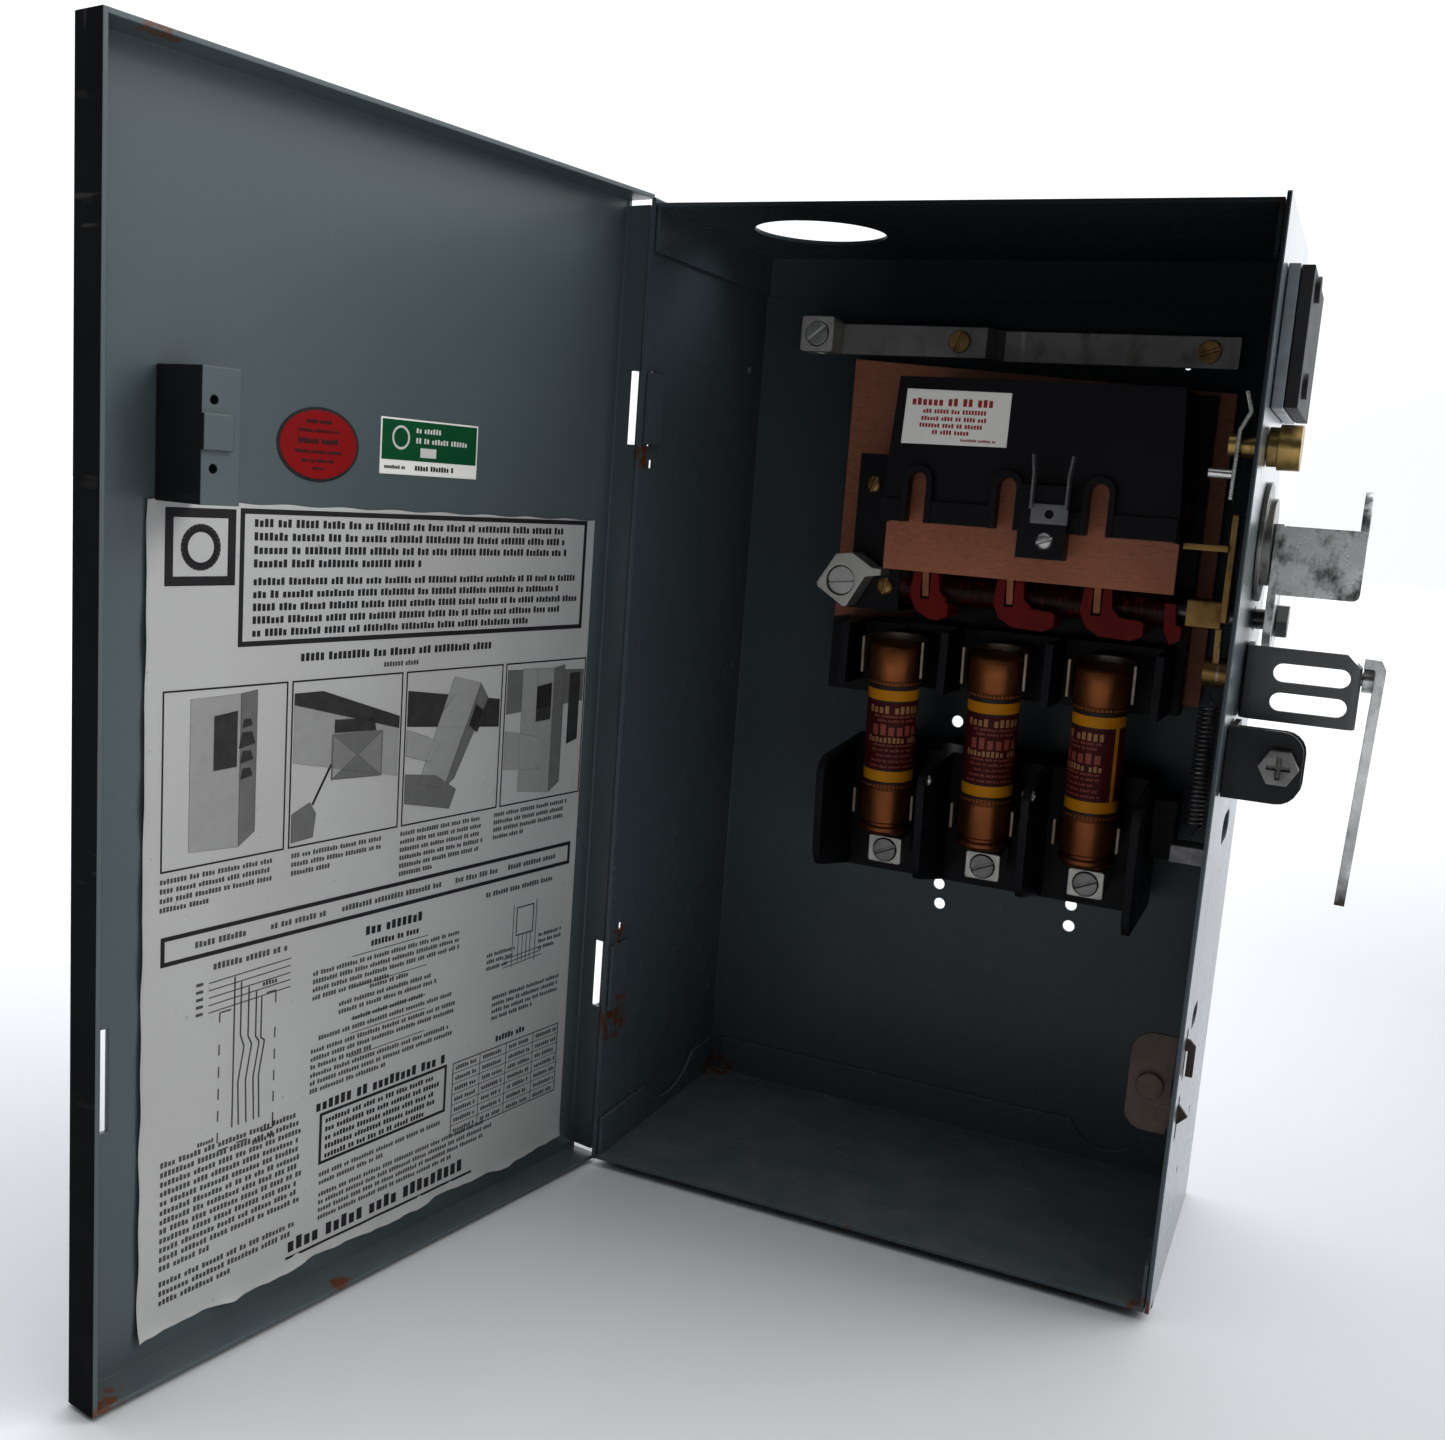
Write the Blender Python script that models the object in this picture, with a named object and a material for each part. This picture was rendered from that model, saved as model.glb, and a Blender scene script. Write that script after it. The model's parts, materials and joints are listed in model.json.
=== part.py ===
"""Fused disconnect switch for a plug-in busway: a sheet steel cabinet with a hinged door, a three-pole
switch with its side handle, three cartridge fuses, ground and neutral bars.

Every length below is in millimetres, measured from the cabinet's front bottom left corner: x to the
right, y to the back, z up. The empty named "cabinet" puts that corner where the origin of the part, the
middle of the back face, comes out at 0, 0, 0, and scales nothing: meshes are made in metres.
"""
import math

import bmesh
import bpy
from mathutils import Matrix, Vector

MM = 0.001

# Cabinet
WIDTH = 216.0
HEIGHT = 370.0
DEPTH = 111.5
SHEET = 1.5
BEND = 2.2                      # outer bend radius of the folded sheets
GAP = 0.3                       # clearance between pieces that touch
CAP_TOP = HEIGHT - 1.8          # upper face of the top cap
CAP_BOTTOM = 3.2                # lower face of the bottom cap
CAP_FLANGE = 17.0
TOP_KNOCKOUT = (46.0, 51.0, 25.0)          # x, y, radius of the open conduit hole
BACK_HOLES = ((102, 180), (101, 109.5), (102, 101), (157, 110.5), (157, 101.5))
BACK_HOLE_RADIUS = 2.5
BACK_VENTS = ((178, 328), (192, 328.7))
BACK_VENT_RADIUS = 1.3

# Door, in its closed place; it stands open at rest
DOOR_OPEN = 100.4               # degrees from closed
DOOR_LEFT = -1.9
DOOR_RIGHT = WIDTH + 1.9
DOOR_FRONT = -3.14
DOOR_TOP = HEIGHT + 1.9
DOOR_BOTTOM = 1.3
DOOR_FLANGE = 13.2
HINGE_FLANGE = 11.8
PIVOT_X = -3.5
PIVOT_Y = 7.28
HINGE_PIN = 1.1
HINGES = (296.0, 77.5)          # heights of the two hinges' middles
HINGE_LEAF = 26.0
HINGE_EAR = 5.0

# Switch
POLES = (96.2, 129.0, 161.6)
SHAFT_Y = 72.0
SHAFT_Z = 237.0
SHAFT_RADIUS = 3.6
SPRING_X = 204.0
SPRING_ANCHOR_Z = 155.0
SPRING_PIN = (80.0, 215.5)      # y, z of the crank's pin, switch off

# Fuses
FUSES = (87.0, 127.0, 167.0)
FUSE_Y = 66.0
FUSE_Z = 176.5
FUSE_TILT = 5.0                 # degrees that the tops lean to the front
FUSE_RADIUS = 10.3
FUSE_TUBE = 9.9
FUSE_LENGTH = 76.2
FERRULE = 15.9
CLIP_INSIDE = 10.7
CLIP_SHEET = 1.1

# Outside the right wall
LOCK_Y = 30.0                   # interlock release screw
LOCK_Z = 295.5
CLAMP_X = 233.2                 # clamping screw
CLAMP_Z = 193.6
LEVER_PIVOT = (54.0, 221.0)     # y, z of the clamp lever's pin

for old in list(bpy.data.objects):
    bpy.data.objects.remove(old, do_unlink=True)


# ---------------------------------------------------------------- materials
def material(name, colour, roughness, metallic=0.0):
    made = bpy.data.materials.new(name)
    made.use_nodes = True
    shader = made.node_tree.nodes["Principled BSDF"]
    shader.inputs["Base Color"].default_value = (*colour, 1.0)
    shader.inputs["Roughness"].default_value = roughness
    shader.inputs["Metallic"].default_value = metallic
    return made


PAINT = material("blue_grey_paint", (0.10, 0.13, 0.15), 0.45)
GREY = material("bracket_grey_paint", (0.30, 0.33, 0.34), 0.45)
BLACK_PAINT = material("black_paint", (0.02, 0.02, 0.022), 0.45)
BLACK = material("black_phenolic", (0.02, 0.02, 0.022), 0.5)
FIBRE = material("brown_fibre", (0.22, 0.09, 0.04), 0.7)
RED = material("red_insulation", (0.35, 0.03, 0.02), 0.5)
ZINC = material("zinc_plate", (0.62, 0.62, 0.60), 0.35, 0.9)
BRONZE = material("dark_bronze", (0.12, 0.08, 0.05), 0.45, 0.7)
BRASS = material("brass", (0.60, 0.42, 0.16), 0.35, 0.9)
COPPER = material("copper", (0.55, 0.28, 0.14), 0.35, 0.9)
ALUMINIUM = material("aluminium", (0.62, 0.62, 0.62), 0.4, 0.8)
CARTRIDGE = material("fuse_fibre", (0.40, 0.10, 0.08), 0.5)
PAPER = material("paper", (0.75, 0.74, 0.70), 0.8)


# ---------------------------------------------------------------- seats
def seat(name, at, parent=None, turn=(0.0, 0.0, 0.0)):
    """An empty at a point given in cabinet millimetres, upright unless it is turned, in degrees."""
    empty = bpy.data.objects.new(name, None)
    bpy.context.collection.objects.link(empty)
    below = Vector(SEATS[parent.name]) if parent else Vector((WIDTH / 2, DEPTH, HEIGHT / 2))
    empty.parent = parent
    empty.location = (Vector(at) - below) * MM
    empty.rotation_euler = [math.radians(a) for a in turn]
    SEATS[name] = at
    return empty


SEATS = {}
CABINET = seat("cabinet", (0, 0, 0))
DOOR = seat("door_hinge_axis", (PIVOT_X, PIVOT_Y, 0), CABINET, (0, 0, -DOOR_OPEN))
ROTOR = seat("switch_shaft_axis", (0, SHAFT_Y, SHAFT_Z), CABINET)
LOCK = seat("release_screw_axis", (WIDTH, LOCK_Y, LOCK_Z), CABINET)
CLAMP = seat("clamping_screw_axis", (CLAMP_X, 0, CLAMP_Z), CABINET)
LEVER = seat("clamp_lever_axis", (WIDTH, *LEVER_PIVOT), CABINET)
LATCH = seat("latch_slide", (WIDTH, 12, 80), CABINET)
RACK = seat("fuse_rack", (0, FUSE_Y, FUSE_Z), CABINET, (FUSE_TILT, 0, 0))
SPRING_LEAN = math.degrees(math.atan2(SPRING_PIN[0] - SHAFT_Y, SPRING_PIN[1] - SPRING_ANCHOR_Z))
SPRING = seat("spring_anchor_axis", (SPRING_X, SHAFT_Y, SPRING_ANCHOR_Z), CABINET, (-SPRING_LEAN, 0, 0))


# ---------------------------------------------------------------- outlines
def rectangle(low_a, high_a, low_b, high_b):
    return [(low_a, low_b), (high_a, low_b), (high_a, high_b), (low_a, high_b)]


def arc(centre, radius, start, end, steps):
    """Points on a circle, angles in degrees, both ends included."""
    angles = [math.radians(start + (end - start) * i / steps) for i in range(steps + 1)]
    return [(centre[0] + radius * math.cos(a), centre[1] + radius * math.sin(a)) for a in angles]


def circle(centre, radius, steps=24):
    return arc(centre, radius, 0, 360, steps)[:-1]


def rounded(low_a, high_a, low_b, high_b, radius, steps=4):
    return (arc((high_a - radius, low_b + radius), radius, -90, 0, steps)
            + arc((high_a - radius, high_b - radius), radius, 0, 90, steps)
            + arc((low_a + radius, high_b - radius), radius, 90, 180, steps)
            + arc((low_a + radius, low_b + radius), radius, 180, 270, steps))


def obround(centre, length, height, steps=8):
    """A slot with round ends, long along the first axis."""
    half, radius = length / 2 - height / 2, height / 2
    return (arc((centre[0] + half, centre[1]), radius, -90, 90, steps)
            + arc((centre[0] - half, centre[1]), radius, 90, 270, steps))


def folded(points, thickness):
    """The outline of a bent strip: the given middle line, half a thickness to each side."""
    left, right = [], []
    for i, point in enumerate(points):
        before = Vector(points[max(i - 1, 0)])
        after = Vector(points[min(i + 1, len(points) - 1)])
        here = Vector(point)
        into = (here - before).normalized() if i else (after - here).normalized()
        out = (after - here).normalized() if i < len(points) - 1 else into
        mean = (into + out).normalized()
        side = Vector((-mean.y, mean.x)) * (thickness / 2 / max(0.3, mean.dot(into)))
        left.append(tuple(here + side))
        right.append(tuple(here - side))
    return right + left[::-1]


# ---------------------------------------------------------------- solids
def solid(name, look, outline, low, high, axis, on=CABINET, smooth=False):
    """An outline pulled along one axis, from low to high. The outline's two axes are the others in
    order: y and z for axis X, x and z for Y, x and y for Z."""
    base = Vector(SEATS[on.name])
    order = {"X": (0, 1, 2), "Y": (1, 0, 2), "Z": (2, 0, 1)}[axis]

    def point(a, b, along):
        spot = [0.0, 0.0, 0.0]
        spot[order[0]], spot[order[1]], spot[order[2]] = along, a, b
        return (Vector(spot) - base) * MM

    made = bmesh.new()
    face = made.faces.new([made.verts.new(point(a, b, low)) for a, b in outline])
    pulled = bmesh.ops.extrude_face_region(made, geom=[face])
    tops = [v for v in pulled["geom"] if isinstance(v, bmesh.types.BMVert)]
    bmesh.ops.translate(made, verts=tops, vec=point(0, 0, high) - point(0, 0, low))
    bmesh.ops.recalc_face_normals(made, faces=made.faces)
    mesh = bpy.data.meshes.new(name)
    made.to_mesh(mesh)
    made.free()
    if smooth:
        mesh.shade_smooth()
        mesh.set_sharp_from_angle(angle=math.radians(35))
    mesh.materials.append(look)
    thing = bpy.data.objects.new(name, mesh)
    thing.parent = on
    bpy.context.collection.objects.link(thing)
    return thing


def block(name, look, x, y, z, on=CABINET):
    return solid(name, look, rectangle(*x, *z), *y, "Y", on)


def rod(name, look, centre, radius, low, high, axis, on=CABINET, steps=24):
    return solid(name, look, circle(centre, radius, steps), low, high, axis, on, smooth=True)


def combine(thing, tools, operation):
    for tool in tools:
        tool.hide_render = True
        tool.display_type = "WIRE"
        change = thing.modifiers.new(tool.name, "BOOLEAN")
        change.operation = operation
        change.solver = "EXACT"
        change.object = tool
    return thing


def cut(thing, *tools):
    return combine(thing, tools, "DIFFERENCE")


def weld(thing, *tools):
    return combine(thing, tools, "UNION")


def slotted(name, look, centre, radius, head, shank, axis, on=CABINET, turn=0.0, shank_radius=2.0):
    """A round head with a slot across its outer face, head[0], and a shank behind it."""
    face, seatside = head
    out = 1 if seatside > face else -1
    screw = rod(name, look, centre, radius, face, seatside, axis, on, 20)
    if shank:
        weld(screw, rod(name + "_shank", look, centre, shank_radius, seatside - out * 0.2, shank, axis, on, 12))
    half = Vector((radius + 1, 0)), Vector((0, 0.6))
    spin = Matrix.Rotation(math.radians(turn), 2)
    corners = [spin @ (half[0] * i + half[1] * j) for i, j in ((-1, -1), (1, -1), (1, 1), (-1, 1))]
    slot = [(centre[0] + c.x, centre[1] + c.y) for c in corners]
    low, high = sorted((face - out, face + out * 0.9))
    return cut(screw, solid(name + "_slot", look, slot, low, high, axis, on))


# ---------------------------------------------------------------- cabinet
def cabinet_shell():
    """Back and both side walls, folded from one sheet."""
    outer = (arc((WIDTH - BEND, DEPTH - BEND), BEND, 0, 90, 4)
             + arc((BEND, DEPTH - BEND), BEND, 90, 180, 4))
    inner_radius = BEND - SHEET
    inner = (arc((BEND, DEPTH - BEND), inner_radius, 180, 90, 2)
             + arc((WIDTH - BEND, DEPTH - BEND), inner_radius, 90, 0, 2))
    outline = ([(WIDTH, 0)] + outer + [(0, 0), (SHEET, 0)] + inner + [(WIDTH - SHEET, 0)])
    shell = solid("cabinet_shell", PAINT, outline, 0, HEIGHT, "Z")
    back = (DEPTH - 3, DEPTH + 1)
    for i, place in enumerate(BACK_HOLES):
        cut(shell, rod(f"back_hole_{i}", PAINT, place, BACK_HOLE_RADIUS, *back, "Y", steps=12))
    for i, place in enumerate(BACK_VENTS):
        cut(shell, rod(f"back_vent_{i}", PAINT, place, BACK_VENT_RADIUS, *back, "Y", steps=8))
    for i, x in enumerate(POLES):
        cut(shell, block(f"jaw_slot_{i}", PAINT, (x - 4.6, x + 4.6), back, (283, 313)))
    right = (WIDTH - 3, WIDTH + 1)
    cut(shell,
        solid("cable_slot", PAINT, obround((62.5, 162), 25, 11), *right, "X"),
        solid("hasp_slot", PAINT, obround((32, 100), 16, 8), *right, "X"),
        rod("rivet_hole_0", PAINT, (65, 53), 1.5, *right, "X", steps=10),
        rod("rivet_hole_1", PAINT, (43, 38), 1.5, *right, "X", steps=10),
        rod("shaft_hole", PAINT, (SHAFT_Y, SHAFT_Z), SHAFT_RADIUS + 1, *right, "X"),
        rod("lock_hole", PAINT, (LOCK_Y, LOCK_Z), 4.3, *right, "X", steps=20),
        block("hook_window", PAINT, right, (10.5, 15), (83, 101)),
        block("tooth_window", PAINT, right, (10.5, 15), (61, 77)),
        block("door_notch_right", PAINT, right, (-1, 11), (-1, CAP_BOTTOM)))
    left = (-1, 3)
    cut(shell,
        rod("left_rivet_hole", PAINT, (96, 319), 1.5, *left, "X", steps=10),
        block("door_notch_left", PAINT, left, (-1, 11), (-1, CAP_BOTTOM)))
    for i, z in enumerate(HINGES):
        half = HINGE_LEAF / 2 + 0.5
        cut(shell, block(f"hinge_window_{i}", PAINT, left, (5.4, 9.2), (z - half, z + half)),
            block(f"louvre_{i}", PAINT, left, (8, 12), (z - 21.5, z - 18.5) if i == 0 else (z + 18, z + 21)))
    return shell


def top_cap():
    """A plate with three flanges that turn down inside the walls."""
    low, high = CAP_TOP - SHEET, CAP_TOP
    x = (SHEET + GAP, WIDTH - SHEET - GAP)
    y = (GAP, DEPTH - SHEET - GAP)
    cap = block("top_cap", PAINT, x, y, (low, high))
    hem = (high - CAP_FLANGE, low + 0.3)
    weld(cap, block("top_left_flange", PAINT, (x[0], x[0] + SHEET), (1, y[1]), hem),
         block("top_right_flange", PAINT, (x[1] - SHEET, x[1]), (1, y[1]), hem),
         block("top_back_flange", PAINT, (x[0] + 0.8, x[1] - 0.8), (y[1] - SHEET, y[1]), hem))
    return cut(cap, rod("top_knockout", PAINT, TOP_KNOCKOUT[:2], TOP_KNOCKOUT[2], low - 2, high + 2, "Z", steps=40))


def bottom_cap():
    """A plate with three flanges that turn up inside the walls, relieved round the wall knockouts."""
    low, high = CAP_BOTTOM, CAP_BOTTOM + SHEET
    x = (SHEET + GAP, WIDTH - SHEET - GAP)
    y = (GAP, DEPTH - SHEET - GAP)
    cap = block("bottom_cap", PAINT, x, y, (low, high))
    hem = (high - 0.3, low + CAP_FLANGE)
    weld(cap, block("bottom_left_flange", PAINT, (x[0], x[0] + SHEET), (1, y[1] - 4), hem),
         block("bottom_right_flange", PAINT, (x[1] - SHEET, x[1]), (1, y[1]), hem),
         block("bottom_back_flange", PAINT, (x[0] + 5, x[1] - 0.8), (y[1] - SHEET, y[1]), hem))
    top = low + CAP_FLANGE
    return cut(cap,
               solid("left_relief", PAINT, arc((62, top + 20), 31, 0, 360, 32)[:-1], x[0] - 1, x[0] + 3, "X"),
               solid("back_relief", PAINT, circle((182, top + 6), 16, 28), y[1] - 3, y[1] + 1, "Y"))


def hinge(name, z):
    """A leaf inside the left wall whose arm passes out through a window and carries the pin."""
    half = HINGE_LEAF / 2
    leaf = block(name, PAINT, (SHEET + GAP, SHEET + GAP + 1.2), (1.5, 14), (z - half, z + half))
    arm_y = (PIVOT_Y - 0.6, PIVOT_Y + 0.6)
    return weld(leaf, block(name + "_arm", PAINT, (PIVOT_X, SHEET + 1), arm_y, (z - half, z + half)),
                rod(name + "_pin", PAINT, (PIVOT_X, PIVOT_Y), HINGE_PIN, z - half - HINGE_EAR - 0.5,
                    z + half + HINGE_EAR + 0.5, "Z", steps=16))


# ---------------------------------------------------------------- door
def door_pan():
    """A shallow pan: the panel with four flanges, and two ears on each hinge pin."""
    back = DOOR_FRONT + DOOR_FLANGE
    hinge_rim = DOOR_FRONT + HINGE_FLANGE
    inner_radius = BEND - SHEET
    outer = (arc((DOOR_LEFT + BEND, DOOR_FRONT + BEND), BEND, 180, 270, 4)
             + arc((DOOR_RIGHT - BEND, DOOR_FRONT + BEND), BEND, 270, 360, 4))
    inner = (arc((DOOR_RIGHT - BEND, DOOR_FRONT + BEND), inner_radius, 360, 270, 2)
             + arc((DOOR_LEFT + BEND, DOOR_FRONT + BEND), inner_radius, 270, 180, 2))
    outline = ([(DOOR_LEFT, hinge_rim)] + outer + [(DOOR_RIGHT, back), (DOOR_RIGHT - SHEET, back)]
               + inner + [(DOOR_LEFT + SHEET, hinge_rim)])
    pan = solid("door_pan", PAINT, outline, DOOR_BOTTOM, DOOR_TOP, "Z", DOOR)
    x = (DOOR_LEFT + 0.8, DOOR_RIGHT - 0.8)
    y = (DOOR_FRONT + 0.6, back)
    weld(pan, block("door_top_flange", PAINT, x, y, (DOOR_TOP - SHEET, DOOR_TOP), DOOR),
         block("door_bottom_flange", PAINT, x, y, (DOOR_BOTTOM, DOOR_BOTTOM + SHEET), DOOR))
    corner = (DOOR_LEFT - 1, DOOR_LEFT + SHEET + 0.2), (DOOR_FRONT + BEND, hinge_rim + 1)
    cut(pan, block("top_corner_slit", PAINT, *corner, (DOOR_TOP - SHEET - 2.2, DOOR_TOP - SHEET), DOOR),
        block("bottom_corner_slit", PAINT, *corner, (DOOR_BOTTOM + SHEET, DOOR_BOTTOM + SHEET + 2.2), DOOR),
        block("screwdriver_slot", PAINT, (206.4, 209.3), (DOOR_FRONT - 1, DOOR_FRONT + 3), (78.5, 109), DOOR))
    for i, z in enumerate(HINGES):
        half = HINGE_LEAF / 2 + 0.4
        cut(pan, block(f"door_hinge_gap_{i}", PAINT, (DOOR_LEFT - 1, DOOR_LEFT + SHEET + 0.2),
                       (PIVOT_Y - 3.4, hinge_rim + 1), (z - half, z + half), DOOR))
        for side in (-1, 1):
            ear = sorted((z + side * half, z + side * (half + HINGE_EAR)))
            reach = (PIVOT_X - 2.2, DOOR_LEFT + 0.5)
            tag = f"door_ear_{i}_{side + 1}"
            weld(pan, block(tag, PAINT, reach, (PIVOT_Y - 2.2, hinge_rim), ear, DOOR))
            cut(pan, rod(tag + "_bore", PAINT, (PIVOT_X, PIVOT_Y), HINGE_PIN + 0.3, ear[0] - 1, ear[1] + 1,
                         "Z", DOOR, steps=16))
    return pan


def keeper_bracket():
    """A channel inside the door that the interlock works against, with two holes and a raised tab."""
    floor = DOOR_FRONT + SHEET + GAP
    top = 18.0
    line = [(194.2 - 0.6, floor), (194.2 - 0.6, top - 0.6), (182.6, top - 0.6), (182.6, floor)]
    bracket = solid("keeper_bracket", BLACK_PAINT, folded(line, 1.2), 254.7, 290.6, "Z", DOOR)
    weld(bracket, block("keeper_tab", BLACK_PAINT, (185, 194.3), (top - 0.4, top + 1.2), (269, 278.4), DOOR))
    return cut(bracket, rod("keeper_hole_0", BLACK_PAINT, (190.4, 282), 1.3, top - 3, top + 3, "Y", DOOR, 12),
               rod("keeper_hole_1", BLACK_PAINT, (190.4, 264.2), 1.3, top - 3, top + 3, "Y", DOOR, 12))


def instruction_sheet():
    face = DOOR_FRONT + SHEET + GAP
    return block("instruction_sheet", PAPER, (8, 197), (face, face + 0.3), (9.5, 253.8), DOOR)


# ---------------------------------------------------------------- ground and neutral
def ground_parts():
    z = (327, 339)
    line = [(32, 95.1), (102, 95.1), (107, 105.1), (197, 105.1)]
    bar = solid("ground_bar", ALUMINIUM, folded(line, 2.2), *z, "Z")
    cut(bar, rod("ground_hole_left", ALUMINIUM, (92, 333), 2.3, 90, 100, "Y", steps=12),
        rod("ground_hole_right", ALUMINIUM, (186, 333), 2.3, 100, 110, "Y", steps=12))
    lug = solid("ground_lug", ALUMINIUM, rounded(28.7, 42.5, 326.6, 340.4, 1, 2), 82.8, 93.7, "Y")
    cut(lug, rod("ground_lug_bore", ALUMINIUM, (35.6, 89), 3.3, 320, 350, "Z", steps=20),
        rod("ground_lug_thread", ALUMINIUM, (35.6, 333.6), 5.0, 81, 87, "Y", steps=20))
    slotted("ground_lug_screw", ZINC, (35.6, 333.6), 4.7, (82.2, 86.7), None, "Y", turn=40)
    slotted("ground_bar_screw_left", BRASS, (92, 333), 4.2, (91.8, 93.7), 109.9, "Y", turn=70)
    slotted("ground_bar_screw_right", BRASS, (186, 333), 4.2, (101.8, 103.7), 109.9, "Y", turn=20)


def neutral_parts():
    """A square lug set askew, its ear screwed to a moulded stand-off."""
    base = block("neutral_base", BLACK, (62.5, 76), (72, 102.6), (226, 287))
    weld(base, block("neutral_foot", BLACK, (62.5, 83), (72, 102.6), (226, 243)))
    outline = [(59.7, 247.1), (66.4, 248.1), (75, 242.9), (78.6, 242.7), (78.7, 240.3), (72.3, 239.2),
               (65.6, 227.2), (64.2, 226.8), (53, 233.8), (52.6, 235.4)]
    centre = (62.3, 236.9)
    lug = solid("neutral_lug", ALUMINIUM, outline, 60, 71.7, "Y")
    cut(lug, rod("neutral_thread", ALUMINIUM, centre, 5.9, 58, 64.9, "Y", steps=24),
        rod("neutral_wire_bore", ALUMINIUM, (centre[0], 68), 3.1, 220, 255, "Z", steps=20))
    slotted("neutral_lug_screw", ZINC, centre, 5.5, (61.4, 64.5), None, "Y", turn=8)


# ---------------------------------------------------------------- barriers and shield
def barriers():
    back = solid("back_barrier", FIBRE, [(46, 199), (198, 199), (198, 318), (46, 326)], 103, 104.2, "Y")
    for i, x in enumerate(POLES):
        cut(back, block(f"barrier_slot_{i}", FIBRE, (x - 4.6, x + 4.6), (101, 106), (283, 313)))
    tongue = [(81.5, 243.5), (189.5, 243.5), (189.5, 261.4), (184, 262.4), (182.5, 290), (88, 290), (86, 262.4),
              (81.5, 261.4)]
    solid("front_barrier", FIBRE, tongue, 52.6, 54.0, "Y")


def line_shield():
    """A moulded cover over the line terminals, with three notches in its lower edge."""
    shield = solid("line_shield", BLACK, [(80.5, 262), (190, 262), (186.5, 315), (84, 315)], 46, 49, "Y")
    hood_y = (48.5, 77.5)
    weld(shield, solid("shield_top", BLACK, [(84, 312), (186.5, 312), (186.5, 315), (84, 315)], *hood_y, "Y"),
         solid("shield_left", BLACK, [(80.5, 262), (83.5, 262), (87, 314), (84, 314)], *hood_y, "Y"),
         solid("shield_right", BLACK, [(187, 262), (190, 262), (186.5, 314), (183.5, 314)], *hood_y, "Y"),
         block("shield_lip", BLACK, (81.4, 189.2), (43.5, 46.5), (262, 270)))
    for i, x in enumerate((95, 128.5, 161.5)):
        rim = rounded(x - 5.8, x + 5.8, 250, 283, 5.7, 4)
        notch = rounded(x - 3.6, x + 3.6, 250, 280.5, 3.5, 4)
        weld(shield, solid(f"notch_rim_{i}", BLACK, rim, 42.5, 47, "Y"))
        cut(shield, solid(f"notch_{i}", BLACK, notch, 40, 51, "Y"))
    cut(shield, block("shield_foot", BLACK, (70, 200), (40, 51.5), (245, 261.9)))
    return weld(shield, block("shield_clip_block", BLACK, (135, 152), (38, 46.3), (252.5, 278.5)))


def shield_clip():
    x = 146.0
    line = [(x - 7, 289), (x - 6.2, 282), (x - 6.2, 270)]
    prongs = solid("shield_clip", ZINC, folded(line, 0.9), 33, 37.4, "Y")
    mirrored = [(2 * x - a, b) for a, b in line]
    weld(prongs, solid("clip_prong_right", ZINC, folded(mirrored, 0.9), 33, 37.4, "Y"),
         block("clip_web", ZINC, (x - 6.6, x + 6.6), (36.5, 37.7), (265, 272)))
    return cut(prongs, rod("clip_hole", ZINC, (x, 268.5), 1.6, 33, 40, "Y", steps=12))


# ---------------------------------------------------------------- switch
def switch_base():
    """The moulded base under the jaws, with a wing on the left and feet that carry the upper clips."""
    base = block("switch_base", BLACK, (84, 192), (92, 102.6), (196, 316))
    weld(base, block("base_left_wing", BLACK, (54, 85), (80, 98), (192, 221)),
         block("base_clip_ledge", BLACK, (72, 188), (82.5, 94), (196, 222)))
    for i, x in enumerate((67, 107, 147, 187)):
        weld(base, block(f"upper_barrier_{i}", BLACK, (x - 1.5, x + 1.5), (58, 95), (197, 221)))
    for i, x in enumerate(POLES):
        cut(base, block(f"jaw_pocket_{i}", BLACK, (x - 5.5, x + 5.5), (90, 104), (248, 314)))
    return base


def line_jaw(name, x):
    """A copper fork: its upper end takes the busbar through the back, its lower end takes the blade."""
    prongs = [(x - 3.4, 80), (x - 2.0, 80), (x - 2.0, 90.6), (x + 2.0, 90.6), (x + 2.0, 80), (x + 3.4, 80),
              (x + 3.4, 92.4), (x - 3.4, 92.4)]
    jaw = solid(name, COPPER, prongs, 252, 276, "Z")
    arms = [(x - 4.4, 84), (x + 4.4, 84), (x + 4.4, 102), (x + 3.0, 102), (x + 3.0, 86), (x - 3.0, 86),
            (x - 3.0, 102), (x - 4.4, 102)]
    return weld(jaw, solid(name + "_arms", COPPER, arms, 286, 310, "Z"),
                block(name + "_stem", COPPER, (x - 3.4, x + 3.4), (84, 92.4), (275, 288)))


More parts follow.
